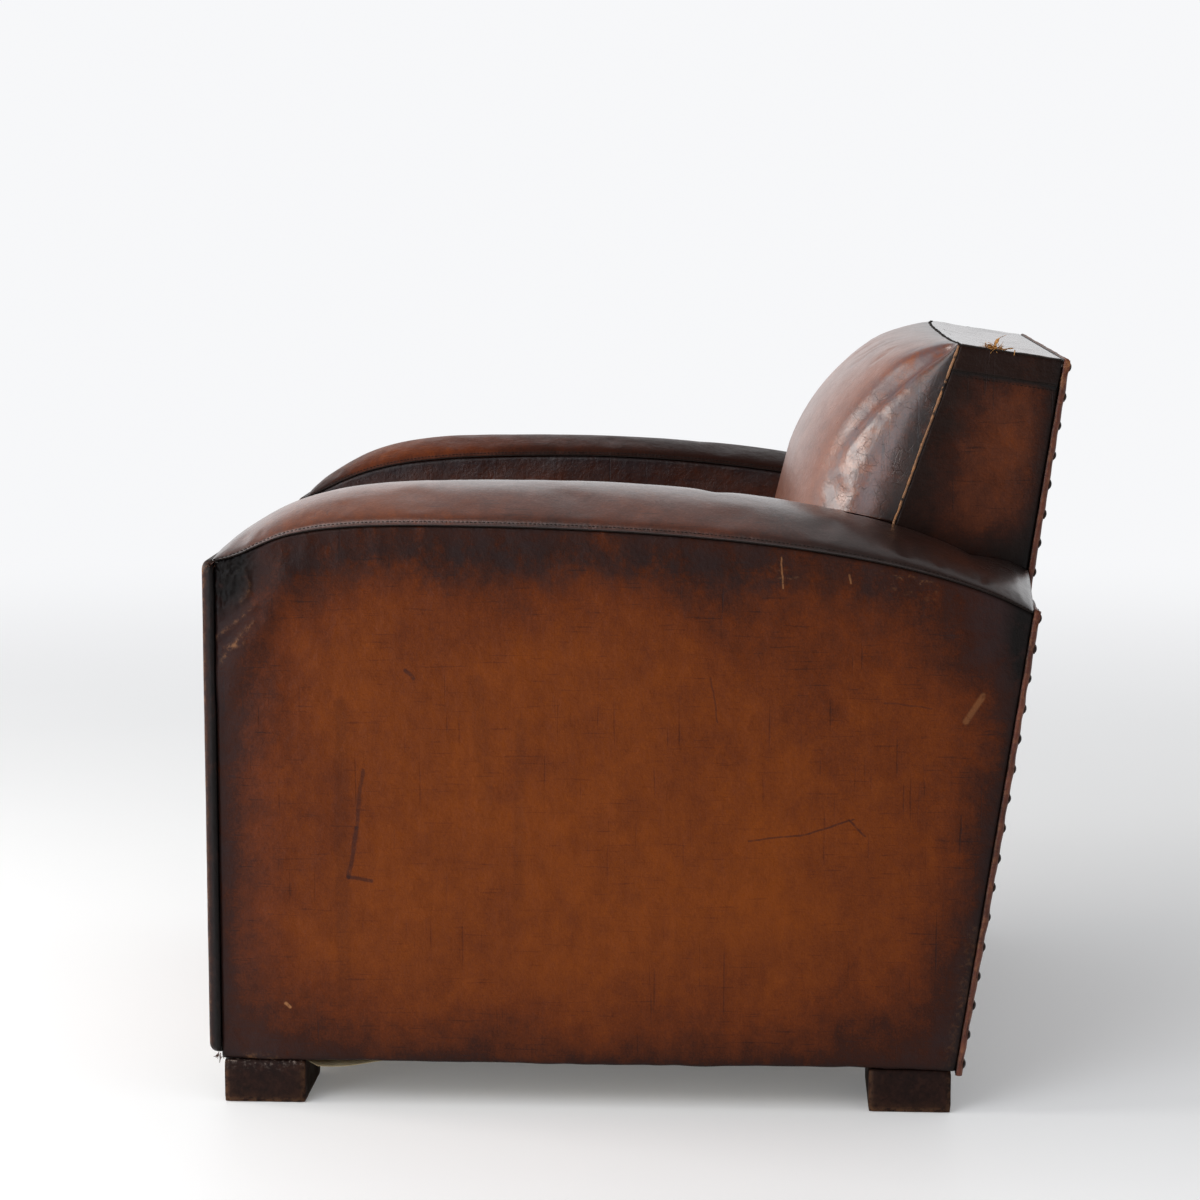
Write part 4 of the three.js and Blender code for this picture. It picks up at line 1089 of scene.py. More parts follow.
def outside_arm(side, sign):
    """The side panel, worn and creased at its top front corner."""
    u, t = patch(222, 150)
    front = SIDE_FRONT + SEAM_GAP
    y = front + (ARM_REAR - front) * u
    for _ in range(4):
        low = COVER_BOTTOM + 0.0018 * ripple(places(sign, y, 0), 0.09, 5)
        z = low + (outer_seam(y) - CLEARANCE - low) * t
        rear = BACK_FOOT + (z - COVER_BOTTOM) * math.tan(RAKE)
        y = front + (rear - front) * u
    top = outer_seam(y) - z
    face = places(ARM_OUTER, y, z)
    depth = 0.0045 * (1 - ease(0.0, 0.07, y - front))
    depth += rolled(y - front, 0.005) + rolled((rear - y), 0.0035) + rolled(z - low, 0.006) + rolled(top, 0.0045)
    puff = 0.0018 * ease(0, 0.05, top) * ease(0, 0.06, y - front) * ease(0, 0.05, rear - y) * ease(0, 0.05, z - low)
    wide = 0.0011 * ripple(face, 0.16, 7 + sign, 2)
    corner = ease(0.050, 0.018, np.hypot((y + 0.424) * 0.9, (z - 0.555) * 0.75))
    pucker = 0.0026 * corner * ripple(face, 0.011, 9 + sign, 4)
    arc = np.hypot(y + 0.412, z - 0.538)
    folds = 0.0017 * bell(arc - 0.022, 0.0032) * ease(-0.415, -0.400, y)
    for start, end, height, width in CORNER_FOLDS:
        folds = folds + height * near(y, z, start, end, width)
    lines = 0.0006 * ripple(face * (1, 1.0, 0.35), 0.03, 12 + sign, 2) * fade(top, 0.03)
    face[..., 0] += puff + wide * ease(0, 0.03, np.minimum(top, y - front)) + pucker + folds + lines - depth
    face[..., 0] *= sign

    def back(rim):
        made = rim.copy()
        made[:, 0] = sign * (ARM_OUTER - SIDE_PANEL)
        made[:, 1] = np.clip(made[:, 1], front, None)
        return made

    piece = shell(f"{side}_outside_leather", face, back)
    from_front, from_rear, from_low = y - front, rear - y, z - low
    kept_front = 1 - 0.58 * fade(from_front, 0.042) - 0.16 * ease(0.18, 0.0, from_front)
    kept_rear = 1 - 0.66 * fade(from_rear, 0.040) - 0.08 * ease(0.16, 0.0, from_rear)
    kept_low = 1 - 0.62 * np.exp(-((from_low / 0.06) ** 1.2))
    kept_top = 1 - 0.62 * np.exp(-((top / 0.10) ** 1.3))
    patina = 1.08 - 0.98 * kept_front * kept_rear * kept_low * kept_top
    patina += 0.25 * bell(y - 0.36, 0.05) * bell(z - 0.5, 0.07)
    patina += 0.10 * ripple(face, 0.22, 17 + sign, 2)
    under_seam = bell(top - 0.028, 0.024) * ease(0.02, 0.08, from_front) * ease(0.06, 0.22, from_rear)
    smudge = 1.2 * under_seam * (0.5 + 0.7 * ripple(face * (1, 1, 0.6), 0.045, 21 + sign, 2))
    smudge += 0.5 * fade(from_front, 0.02) + 0.7 * fade(from_rear, 0.02)
    soot = 1.1 * corner + 1.2 * bell(y - 0.386, 0.018) * bell(z - 0.49, 0.042)
    # Painted shade: black along the rear, bottom and top edges, and the front edge below, where the panel turns into
    # the gaps round it.
    soot += 0.9 * fade(from_rear, 0.008) + 0.7 * fade(from_low, 0.006) + 1.0 * fade(top, 0.002)
    soot += 0.9 * fade(from_front, 0.0035) + 0.35 * under_seam
    # Wear and painted highlights: pale lines on the crests of the corner's arc and of its first folds.
    rub = 0.35 * bell(arc - 0.023, 0.0022) * ease(-0.415, -0.400, y)
    rub += 0.45 * near(y, z, (-0.40, 0.047), (-0.37, 0.046), 0.004)
    for start, end, _, _ in CORNER_FOLDS[:3]:
        rub += 0.30 * near(y, z, start, end, 0.0016)
    speckle = near(y, z, (0.255, 0.552), (0.285, 0.538), 0.012) + near(y, z, (0.145, 0.556), (0.160, 0.545), 0.008)
    rub += 0.5 * speckle * ease(0.25, 0.5, ripple(face, 0.004, 25, 2)) + 0.22 * ease(0.02, 0.0, from_rear) * (z < 0.2)
    paint_all(piece, patina=np.clip(patina, 0, 1.1), smudge=np.clip(smudge, 0, 1), soot=np.clip(soot, 0, 1),
              rub=np.clip(rub, 0, 1))
    near_side = side == "left"
    material = hide(f"{side}_side_leather", edge="2f1f1e", roughness=0.41, shine=0.13,
                    marks=SIDE_MARKS if near_side else SIDE_MARKS[6:9], seed=0.0 if near_side else 2.3)
    dress(piece, material, "leather", f"{side}_outside_arm")


def inside_arm(side, sign):
    """The inner face of an arm, from the seat up to the inner seam."""
    u, t = patch(150, 90)
    low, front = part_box("left_inside_arm")[0].z, SIDE_FRONT + SEAM_GAP
    edge = INNER_EDGE[-1]
    y = front + (edge[0] - front) * u
    for _ in range(4):
        z = low + (inner_seam(y) - CLEARANCE - low) * t
        rear = edge[0] + (z - edge[1]) * math.tan(RAKE)
        y = front + (rear - front) * u
    top = inner_seam(y) - z
    face = places(ARM_INNER, y, z)
    puff = 0.0035 * ease(0.0, 0.09, top) * ease(0.0, 0.09, y - front)
    wave = 0.0012 * ripple(face, 0.09, 31 + sign, 3)
    face[..., 0] += rolled(y - front, 0.005) + rolled(top, 0.005) - puff - wave + 0.002 * bell(z - 0.47, 0.05)
    face[..., 0] = sign * np.maximum(face[..., 0], ARM_INNER - 0.0038)
    piece = shell(f"{side}_inside_leather", face, pressed(0, sign * (ARM_INNER + INNER_PANEL)))
    paint_all(piece, patina=0.55 + 0.4 * fade(top, 0.02) + 0.4 * ease(0.5, 0.3, z) + 0.3 * fade(y - front, 0.03),
              smudge=0.6 * fade(top, 0.015), soot=0.9 * fade(top, 0.003) + 0.8 * ease(0.42, 0.3, z),
              rub=0.5 * bell(z - 0.52, 0.03) * fade(y - front, 0.1))
    material = hide("inner_arm_leather", middle="4f2412", roughness=0.40, shine=0.35, seed=1.1)
    dress(piece, material, "leather", f"{side}_inside_arm")


def facing(side, sign):
    """The flat padded front of an arm: a rounded panel whose leather turns round its edge."""
    low, high = FACING_LOW, FACING_HIGH
    radius, corner = 0.008, 0.012
    u, t = patch(44, 120, 0.8, 0.85)
    x = low.x + (high.x - low.x) * u
    z = low.z + (high.z - low.z) * t
    dx = np.minimum(x - low.x, high.x - x)
    dz = np.minimum(z - low.z, high.z - z)
    inset = np.maximum(corner - dx, 0), np.maximum(corner - dz, 0)
    reach = np.hypot(*inset)
    both = (inset[0] > 0) & (inset[1] > 0)
    shrink = np.where(both, np.maximum(inset[0], inset[1]) / np.maximum(reach, 1e-9), 1.0)
    centre_x = np.where(x < (low.x + high.x) / 2, low.x + corner, high.x - corner)
    centre_z = np.where(z < (low.z + high.z) / 2, low.z + corner, high.z - corner)
    x = np.where(both, centre_x + (x - centre_x) * shrink, x)
    z = np.where(both, centre_z + (z - centre_z) * shrink, z)
    dx = np.minimum(x - low.x, high.x - x)
    dz = np.minimum(z - low.z, high.z - z)
    edge = np.where(both, corner - np.hypot(x - centre_x, z - centre_z), np.minimum(dx, dz))
    face = places(x, low.y, z)
    puff = 0.0012 * ease(0.0, 0.04, edge) + 0.0006 * ripple(face, 0.06, 41 + sign, 3) * ease(0, 0.02, edge)
    face[..., 1] += rolled(edge, radius) - puff + 0.0008
    face[..., 0] += 0.0006 * ripple(face, 0.05, 43 + sign, 2)
    face[..., 0] *= sign
    piece = shell(f"{side}_facing_leather", face, pressed(1, high.y))
    # Wear and painted highlight: a pale band along the rounded edge. Painted shade: black at the very edge, where it
    # meets the gap.
    paint_all(piece, patina=0.55 + 0.3 * fade(edge, 0.012) + 0.2 * ease(0.2, 0.05, z), smudge=0.4 * fade(edge, 0.01),
              soot=0.5 * fade(z - low.z, 0.03) + 0.9 * fade(edge, 0.0008),
              rub=0.35 * bell(edge - 0.005, 0.003) + 0.5 * fade(high.z - z, 0.012))
    material = hide("facing_leather", middle="522411", roughness=0.44, shine=0.2, seed=3.1)
    dress(piece, material, "dark_leather", f"{side}_arm_facing")
    line = places(sign * (high.x - 0.0022), high.y - 0.0012, np.linspace(low.z + corner, high.z - corner, 160))
    welt = joined(f"{side}_facing_welt", [tube(line + 0.0004 * ripple(line, 0.02, 45, 2)[:, None], 0.0011, 6)])
    paint_evenly(welt, patina=0.6, rub=0.15)
    dress(welt, material, "dark_leather")


# Seat
def front_border():
    """The leather under the cushion, slack between its tacks."""
    low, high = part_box("front_border")
    u, t = patch(110, 60, 0.6, 0.6)
    x = low.x + (high.x - low.x) * u
    bottom = low.z + 0.0012 * ripple(places(x, 0, 0), 0.08, 51)
    z = bottom + (high.z - bottom) * t
    face = places(x, low.y, z)
    puff = 0.002 * ease(0, 0.04, z - bottom) * ease(0, 0.04, high.z - z)
    sag = 0.0012 * ripple(face * (1, 1, 0.6), 0.07, 53, 3)
    face[..., 1] += rolled(z - bottom, 0.005) + rolled(high.z - z, 0.006) - puff - sag * ease(0, 0.02, high.z - z)
    piece = shell("front_border_leather", face, pressed(1, high.y))
    paint_all(piece, patina=0.35 + 0.45 * fade(z - bottom, 0.03) + 0.35 * fade(high.z - z, 0.02),
              smudge=0.4 * fade(high.z - z, 0.02), soot=0.6 * fade(z - bottom, 0.008),
              rub=0.3 * bell(z - high.z + 0.008, 0.006))
    dress(piece, hide("border_leather", shine=0.35, seed=4.7), "leather", "front_border")


def cushion_outline(t, low, high, corner, bow):
    """A rounded rectangle whose sides draw in between its corners. t runs round it from 0 to 1."""
    angle = 2 * np.pi * t
    half = np.array([(high[0] - low[0]) / 2, (high[1] - low[1]) / 2])
    middle = np.array([(high[0] + low[0]) / 2, (high[1] + low[1]) / 2])
    c, s = np.cos(angle), np.sin(angle)
    reach = (np.abs(c) ** corner + np.abs(s) ** corner) ** (-1 / corner)
    x, y = reach * c, reach * s
    draw_x = 1 - bow * (1 - y**2) / half[0]
    draw_y = 1 - bow * (1 - x**2) / half[1]
    return np.stack([middle[0] + half[0] * x * draw_x, middle[1] + half[1] * y * draw_y], -1)


def seat_cushion():
    """The loose cushion: stuffed panels, a boxing all round and two piped edges."""
    low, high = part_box("seat_cushion")
    around = 260
    bottom = low.z + 0.002
    top = bottom + 0.129
    crown = high.z - top - 0.004
    t = np.arange(around) / around

    def outline(inset):
        inset = Vector((inset, inset, 0))
        return cushion_outline(t, low + inset, high - inset, 9.0, 0.004)

    rim = outline(0.004)
    middle = np.array([(low.x + high.x) / 2, (low.y + high.y) / 2])
    spread = np.linspace(0.0, 1.0, 26)
    levels = [(share, bottom) for share in spread[1:-1]]
    for rise in np.linspace(0, 1, 15):
        levels.append((1 + 0.010 * math.sin(math.pi * rise), bottom + (top - bottom) * rise))
    levels += [(share, top + crown * (1 - share**2.6) ** 0.8) for share in spread[-2:0:-1]]
    rows = [np.column_stack([middle + (rim - middle) * share, np.full(around, z)]) for share, z in levels]
    piece = new_piece("seat_cushion_leather", *loft(np.array(rows)))
    remesh = piece.modifiers.new("even", "REMESH")
    remesh.mode = "VOXEL"
    remesh.voxel_size = 0.006
    piece = plain_mesh(piece)
    p = positions(piece)
    sewn = 0.9 * bell(p[:, 2] - top, 0.006) * (np.abs(p[:, 2] - top) < 0.01)
    sewn = np.maximum(sewn, (p[:, 2] < bottom + 0.003) * 1.0)
    quads = [list(f.vertices) for f in piece.data.polygons]
    move_to(piece, simulate("seat_cushion_cloth", p, quads, sewn, 4.0, 0.008, 0.02))
    subdivide = piece.modifiers.new("fine", "SUBSURF")
    subdivide.levels = subdivide.render_levels = 1
    piece = plain_mesh(piece)
    limit_low, limit_high = np.array(low) - 0.001, np.array(high) + 0.004
    limit_low[0], limit_high[0] = low.x, high.x
    p = np.clip(positions(piece), limit_low, limit_high)
    p[:, 2] += 0.0012 * ripple(p, 0.06, 61, 2) * ease(top, high.z, p[:, 2])
    dip = bell(p[:, 0], 0.15) * bell(p[:, 1] - middle[1], 0.17) * ease(top, high.z, p[:, 2])
    p[:, 2] -= 0.008 * dip
    move_to(piece, p)
    smooth(piece.data)
    side = ease(0.012, 0.0, np.minimum(np.abs(p[:, 2] - top), np.abs(p[:, 2] - bottom)))
    paint_all(piece, patina=0.35 + 0.4 * side + 0.25 * ease(0.05, 0.2, p[:, 1]) + 0.2 * ease(0.4, 0.32, p[:, 2]),
              smudge=0.5 * side, soot=0.4 * ease(bottom + 0.02, bottom, p[:, 2]),
              rub=0.5 * dip + 0.4 * ease(-0.40, -0.43, p[:, 1]) * ease(0.40, 0.44, p[:, 2]), crackle=0.8 * dip)
    material = hide("seat_leather", middle="602e16", roughness=0.38, shine=0.5, coat=0.2, seed=5.9, cracked=True)
    dress(piece, material, "leather", "seat_cushion")
    pipes = []
    for z in (top, bottom + 0.008):
        line = np.column_stack([outline(0.001), np.full(around, z)])
        line[:, 2] += 0.0008 * ripple(line, 0.05, 63, 2)
        pipes.append(tube(line, sizes().piping_width / 2, 8, True))
    cord = joined("seat_cushion_piping", pipes)
    paint_evenly(cord, patina=0.7, rub=0.35, soot=0.2)
    dress(cord, hide("piping_leather", roughness=0.4, seed=6.1), "leather")


# Back
def pillow_thickness(x, w):
    s = sizes()
    start = BACK_TOP - s.pillow_crown
    top = np.clip((w - start) / s.pillow_crown, 0, 1)
    slim = 0.1 * np.maximum(start - w, 0)
    across = (1 - np.clip(np.abs(x) / HALF_BACK, 0, 1) ** 2.45) ** (1 / 2.45)
    return (s.pillow_depth - slim) * np.sqrt(1 - top**2) * across


def inside_back():
    """The crowned inside back, pulled to the top corners in a pleat on each side."""
    foot = back_points("inside_back")[2].min()
    share = 1 - (1 - np.linspace(0, 1, 120)) ** 1.25
    low, high = foot + 0.002, BACK_TOP - CLEARANCE
    w, angle = np.meshgrid(low + (high - low) * share, np.linspace(-np.pi / 2, np.pi / 2, 150), indexing="ij")
    x, below = HALF_BACK * np.sin(angle), BACK_TOP - w
    bottom = np.sqrt(np.clip(1 - (1 - np.clip((w - low) / 0.06, 0, 1)) ** 2, 0, 1))
    thick = bottom * pillow_thickness(x, w)
    v = front_v(w) - 0.0006 - thick
    corner_w = np.clip(below / 0.16, 0, 1)
    pleat_x = HALF_BACK - 0.052 * np.sqrt(corner_w)
    pleat = bell(np.abs(x) - pleat_x, 0.012) * ease(0.19, 0.02, below)
    v += 0.013 * pleat * ease(0.0, 0.02, thick)
    v -= 0.006 * bell(below - 0.022, 0.02) * (1 - (np.abs(x) / HALF_BACK) ** 6)
    face = from_back(x, v, w)

    def back(rim):
        rim_v, rim_w = to_back(rim)
        return from_back(rim[:, 0] * 0.985, np.maximum(rim_v, front_v(rim_w)) + 0.004, rim_w)

    border = np.minimum((HALF_BACK - np.abs(x)) / 0.03, below / 0.03)
    face = stuffed("inside_back_cloth", face, 1 - ease(0.0, 1.0, border), 2.5, 0.003, 0.004)
    piece = shell("inside_back_leather", face, back)
    cut_arm_rooms(piece)
    p = positions(piece)
    v, w = to_back(p)
    wide, below = np.abs(p[:, 0]), BACK_TOP - w
    flank = ease(0.205, 0.240, wide)
    edge = np.minimum(HALF_BACK - wide, below)
    low_part = ease(0.52, 0.42, p[:, 2])
    patina = 0.20 + 0.30 * fade(edge, 0.01) + 0.45 * low_part + 0.10 * flank
    patina += 0.20 * bell(below - 0.12, 0.05) * (1 - flank)
    # Painted reflection: the flanks near the top are tinted grey-purple, a blue-grey sheen.
    paint_all(piece, patina=patina, smudge=flank * ease(0.56, 0.62, p[:, 2]) * ease(0.002, 0.012, HALF_BACK - wide),
              soot=0.8 * fade(edge, 0.002) + 0.7 * ease(0.46, 0.40, p[:, 2]), rub=0.10 * (1 - low_part) * (1 - flank),
              crackle=0.15 + 0.85 * ease(0.20, 0.235, wide) * ease(0.76, 0.70, p[:, 2]))
    smooth(piece.data)
    # The grey-purple edge colour is a painted reflection colour, laid on the flanks and on the darkest tones.
    material = hide("back_leather", bright="8a4824", middle="6f3517", edge="54464b", roughness=0.34, shine=0.5,
                    coat=0.7, coat_roughness=0.32, relief=0.7, seed=7.3, cracked=True)
    dress(piece, material, "leather", "inside_back")


def cut_arm_rooms(piece):
    """Cuts the inside back away where the arms pass it."""
    y, angle = np.meshgrid(np.linspace(0.0, ARM_REAR, 60), np.pi * np.linspace(0, 1, 20), indexing="ij")
    for sign in SIDES.values():
        face = arm_band_point(y, angle)
        face[..., 2] += 0.0015
        face[..., 0] = sign * (face[..., 0] + 0.0015 * np.cos(angle))
        cut_away(piece, shell("arm_room", face, pressed(2, 0.2)))


def back_side(side, sign):
    """The flat side of the back over the arm, with a band sewn on along its top."""
    u, t = patch(70, 96, 0.7, 0.7)
    w = TAPER_LOW + (BACK_TOP - 0.0006 - TAPER_LOW) * t
    front = front_v(w) + SEAM_GAP
    v = front + (-OUTSIDE_BACK_V - front) * u
    band = 0.028
    below = BACK_TOP - w
    face = from_back(HALF_BACK, v, w)
    depth = rolled(v - front, 0.003) + rolled(-OUTSIDE_BACK_V - v, 0.004) + rolled(below, 0.004)
    step = 0.0009 * ease(band + 0.001, band - 0.001, below)
    hollow = 0.0025 * ease(0, 0.05, below - band) * np.sin(np.pi * np.clip(u, 0, 1))
    face[..., 0] += -depth + step - hollow + 0.0009 * ripple(face, 0.07, 71 + sign, 3)
    face[..., 0] *= sign
    piece = shell(f"{side}_back_side_leather", face, pressed(0, sign * (HALF_BACK - BACK_PANEL)))
    from_front, from_rear = v - front, -v
    patina = 0.30 + 0.75 * np.exp(-((from_front / 0.045) ** 1.3)) + 0.7 * fade(from_rear, 0.018)
    # The band is darker; the lower part darkens as painted shade where the arm meets the back side.
    patina += 0.45 * ease(band + 0.004, band - 0.004, below) + 0.7 * ease(0.62, 0.52, face[..., 2])
    # Painted shade: black along the rear edge and in the groove under the band.
    soot = 0.9 * fade(from_rear, 0.007) + 0.8 * bell(below - band - 0.001, 0.003)
    # Painted shade: black towards the bottom, where the arm meets the back side.
    paint_all(piece, patina=patina,
              smudge=0.6 * fade(from_front, 0.02) + 0.5 * ease(band + 0.004, band - 0.004, below),
              soot=soot + 0.7 * ease(0.60, 0.54, face[..., 2]), rub=0.6 * bell(from_front, 0.004) * fade(below, 0.012))
    material = hide("back_side_leather", middle="5a2a12", edge="22110b", roughness=0.38, shine=0.18, seed=8.1)
    dress(piece, material, "leather", f"{side}_back_side")


def back_top():
    """The strip over the back, bowed forward in its middle and torn near a corner."""
    u, t = patch(130, 34, 0.85, 0.85)
    x = HALF_BACK * (2 * u - 1)
    flat_middle = 1 - (x / HALF_BACK) ** 4
    reach = BACK_TOP_DEPTH + TOP_BOW * flat_middle
    v = -reach + (reach - OUTSIDE_BACK_V) * t
    edge_x = HALF_BACK - np.abs(x)
    edge_v = np.minimum(v + reach, -v)
    face = from_back(x, v, BACK_TOP)
    sag = 0.0035 * np.sin(np.pi * t) * flat_middle + 0.001 * ripple(face, 0.06, 81, 3) * ease(0, 0.02, edge_v)
    hole = bell(x - 0.264, 0.008) * bell(v + 0.060, 0.010)
    drop = rolled(edge_v, 0.0035) * np.where(v < -BACK_TOP_DEPTH + 0.004, 0.4, 1.0) + rolled(edge_x, 0.004)
    drop = drop + sag + 0.005 * hole - 0.0008 * ease(0.0, 0.003, edge_v)
    face = from_back(x, v, BACK_TOP - drop)

    def back(rim):
        rim_v, _ = to_back(rim)
        return from_back(rim[:, 0], rim_v, BACK_TOP - np.where(rim_v < -BACK_TOP_DEPTH, 0.0016, BACK_PANEL))

    piece = shell("back_top_leather", face, back)
    edge = np.minimum(edge_x, edge_v)
    oval = bell(x - 0.16, 0.014) * bell(v + 0.088, 0.006)
    # Painted shadow: black in the torn hole. Painted shade: black along the edges.
    paint_all(piece, patina=0.45 + 0.35 * fade(edge, 0.008), smudge=0.2 + 0 * x,
              soot=0.9 * oval + 0.9 * hole + 0.8 * fade(edge, 0.0025), rub=0.3 * bell(edge_x - 0.003, 0.004),
              crackle=0.6 + 0 * x)
    material = hide("back_top_leather", middle="50291a", roughness=0.32, shine=0.5, coat=0.9, coat_roughness=0.2,
                    relief=0.7, seed=9.4, cracked=True)
    dress(piece, material, "dark_leather", "back_top")


def outside_back_outline():
    """Half of the outside back's outline, from the foot to the top, as width and place up the rake."""
    x, _, w = back_points("outside_back")
    foot = w[x > ARM_OUTER - 1e-3]
    low, shoulder = foot.min(), foot.max()
    return [(ARM_OUTER, low), (ARM_OUTER, shoulder), (HALF_BACK, shoulder), (HALF_BACK, BACK_TOP)]


def run_of(points, pitch):
    """Places along a broken line at about a pitch, its corners among them."""
    made = []
    for a, b in zip(points, points[1:]):
        count = max(1, round(math.dist(a, b) / pitch))
        made += [tuple(np.array(a) + (np.array(b) - np.array(a)) * i / count) for i in range(count)]
    return made + [points[-1]]


def outside_back():
    """The stepped rear panel and the folded strip that is nailed round it."""
    thick, strip_width, cell = 0.0045, 0.017, 0.008
    outline = outside_back_outline()
    foot, shoulder = outline[0][1], outline[1][1]
    loop = outline + [(-x, w) for x, w in outline[::-1]]
    work = bmesh.new()
    front_face = work.faces.new([work.verts.new(from_back(x, OUTSIDE_BACK_V, w)) for x, w in loop])
    made = bmesh.ops.extrude_face_region(work, geom=[front_face])
    normal = Vector(from_back(0, 1, 0) - from_back(0, 0, 0))
    bmesh.ops.translate(work, verts=[g for g in made["geom"] if isinstance(g, bmesh.types.BMVert)], vec=normal * thick)
    for x in np.arange(-ARM_OUTER + cell, ARM_OUTER - cell / 2, cell):
        sliced(work, Vector(from_back(x, 0.0, 0.4)), Vector((1, 0, 0)))
    for w in np.arange(foot + cell, BACK_TOP - cell / 2, cell):
        sliced(work, Vector(from_back(0.0, 0.0, w)), Vector(from_back(0, 0, 1) - from_back(0, 0, 0)))
    bmesh.ops.recalc_face_normals(work, faces=work.faces)
    piece = settled("outside_back_leather", work)
    p = positions(piece)
    v, w = to_back(p)
    limit = np.where(w > shoulder, HALF_BACK, ARM_OUTER)
    edge = np.minimum(limit - np.abs(p[:, 0]), np.minimum(w - foot, BACK_TOP - w))
    drum = 0.0022 * ease(strip_width, strip_width + 0.08, edge)
    drum += 0.0012 * ripple(p, 0.12, 91, 3) * ease(0.02, 0.05, edge)
    v = np.where(v > OUTSIDE_BACK_V + thick * 0.5, v + drum, v)
    move_to(piece, from_back(p[:, 0], v, w))
    smooth(piece.data)
    paint_all(piece, patina=0.5 + 0.4 * fade(edge, 0.04), smudge=0.3 * fade(edge, 0.06), soot=0.5 * fade(edge, 0.01))
    material = hide("rear_leather", middle="562815", roughness=0.45, shine=0.3, seed=10.2)
    dress(piece, material, "dark_leather", "outside_back")
    rear_strip(thick, strip_width)
    rear_nails(thick)


def rear_strip(thick, width):
    """Folded leather strip round the outside back, drawn in a little between its nails."""
    pitch = sizes().nail_pitch
    parts = []
    outline = outside_back_outline()
    for sign in SIDES.values():
        for a, b in zip(outline, outline[1:]):
            parts.append(strip_run((a[0] * sign, a[1]), (b[0] * sign, b[1]), thick, width, pitch))
    top = outline[-1]
    parts.append(strip_run(top, (-top[0], top[1]), thick, width, pitch))
    piece = joined("outside_back_strip", parts)
    p = positions(piece)
    v, w = to_back(p)
    paint_all(piece, patina=0.35 + 0.35 * ease(0.003, -0.001, v) + 0.25 * ripple(p, 0.05, 95, 2),
              smudge=0.4 * ease(0.2, 0.6, ripple(p, 0.03, 96, 2)), soot=0.9 * ease(0.0012, -0.0002, v),
              rub=0.25 + 0.35 * ease(0.65, 0.72, w))
    dress(piece, hide("strip_leather", bright="7d4630", middle="5e3022", shine=0.3, seed=11.5), "dark_leather")


def strip_run(a, b, thick, width, pitch):
    """One straight stretch of the strip: a flat section with a rounded outer fold."""
    a, b = np.array(a, float), np.array(b, float)
    length = np.linalg.norm(b - a)
    along = (b - a) / length
    inward = np.array([-along[1], along[0]])
    if inward @ (np.array([0.0, 0.35]) - (a + b) / 2) < 0:
        inward = -inward
    steps = max(4, int(length / 0.004))
    t = np.linspace(0, 1, steps)
    lap = 0.0022
    section = [(0.0, -0.0004), (-0.0012, 0.0006), (-0.0016, 0.002), (-0.0010, 0.0038), (0.0012, thick + 0.0012)]
    section += [(0.004, thick + lap), (0.010, thick + lap * 0.8), (width, thick + 0.0003), (width, thick - 0.001)]
    section += [(0.002, thick - 0.002)]
    spaces = max(1, round(length / pitch))
    scallop = 0.0003 * np.cos(2 * np.pi * t * spaces) + 0.0006 * ripple(places(t * length, *a), 0.03, 97, 2)
    rings = []
    for share, lift in zip(t, scallop):
        base = a + (b - a) * share
        ring = []
        for s, d in section:
            outward_share = 1.0 if d > thick * 0.7 else 0.4
            place = base + inward * (s - lift * 0.6)
            ring.append(from_back(place[0], OUTSIDE_BACK_V + d + lift * outward_share, place[1]))
        rings.append(ring)
    return loft(np.array(rings))


def rear_nails(thick):
    """Nails round the outside back, from foot to foot over its top."""
    pitch, inset = sizes().nail_pitch, 0.007
    outline = [(x - inset, w - inset) for x, w in outside_back_outline()]
    shoulder, step, top = outline[1:]
    foot = (outline[0][0], outline[0][1] + 2 * inset + 0.004)
    half = run_of([foot, shoulder], pitch)
    half += run_of([(shoulder[0] - pitch, shoulder[1]), step], pitch)
    half += run_of([(step[0], step[1] + pitch), top], pitch)
    head = run_of([(top[0] - pitch, top[1]), (-top[0] + pitch, top[1])], pitch)
    spots = half + [(-x, w) for x, w in half] + head
    points = [from_back(x, OUTSIDE_BACK_V + thick + 0.0019, w) for x, w in spots]
    normal = from_back(0, 1, 0) - from_back(0, 0, 0)
    nails("outside_back_nails", points, [normal] * len(points), shared("patinated_nails", nail_material))


# Feet and cloths
LINEN = (0.0022, "b7a582", "7a6747")
JUTE = (0.004, "a88a5c", "66502f")


def hessian_weave():
    return weave("hessian_weave", *LINEN)


def block_foot(node):
    """A block foot, dented along its edges and dusty at the top in front."""
    low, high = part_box(node)
    piece = rounded_block(f"{node}_block", low, (high.x, high.y, COVER_BOTTOM - 0.0006), 0.0022, 0.006)
    p = positions(piece)
    middle = np.array([(low.x + high.x) / 2, (low.y + high.y) / 2])
    dent = ripple(p, 0.018, 101, 3)
    away = np.min([p[:, 0] - low.x, high.x - p[:, 0], p[:, 1] - low.y, high.y - p[:, 1]], 0)
    corner = fade(np.abs(away), 0.004)[:, None]
    p[:, :2] += (middle - p[:, :2]) * (0.006 * ease(0.006, 0.0, p[:, 2]) * (0.6 + dent))[:, None] * corner
    p[:, :2] += (middle - p[:, :2]) * (0.004 * np.maximum(dent, 0))[:, None] * corner
    move_to(piece, p)
    edges = np.sort([p[:, 0] - low.x, high.x - p[:, 0], p[:, 1] - low.y, high.y - p[:, 1], p[:, 2] - low.z], 0)
    paint_all(piece, rub=fade(edges[1], 0.0025) + 0.7 * fade(p[:, 2], 0.003),
              dust=ease(0.035, 0.045, p[:, 2]) * (low.y < 0))
    dress(piece, shared("stained_feet", foot_material), "foot_wood", node)


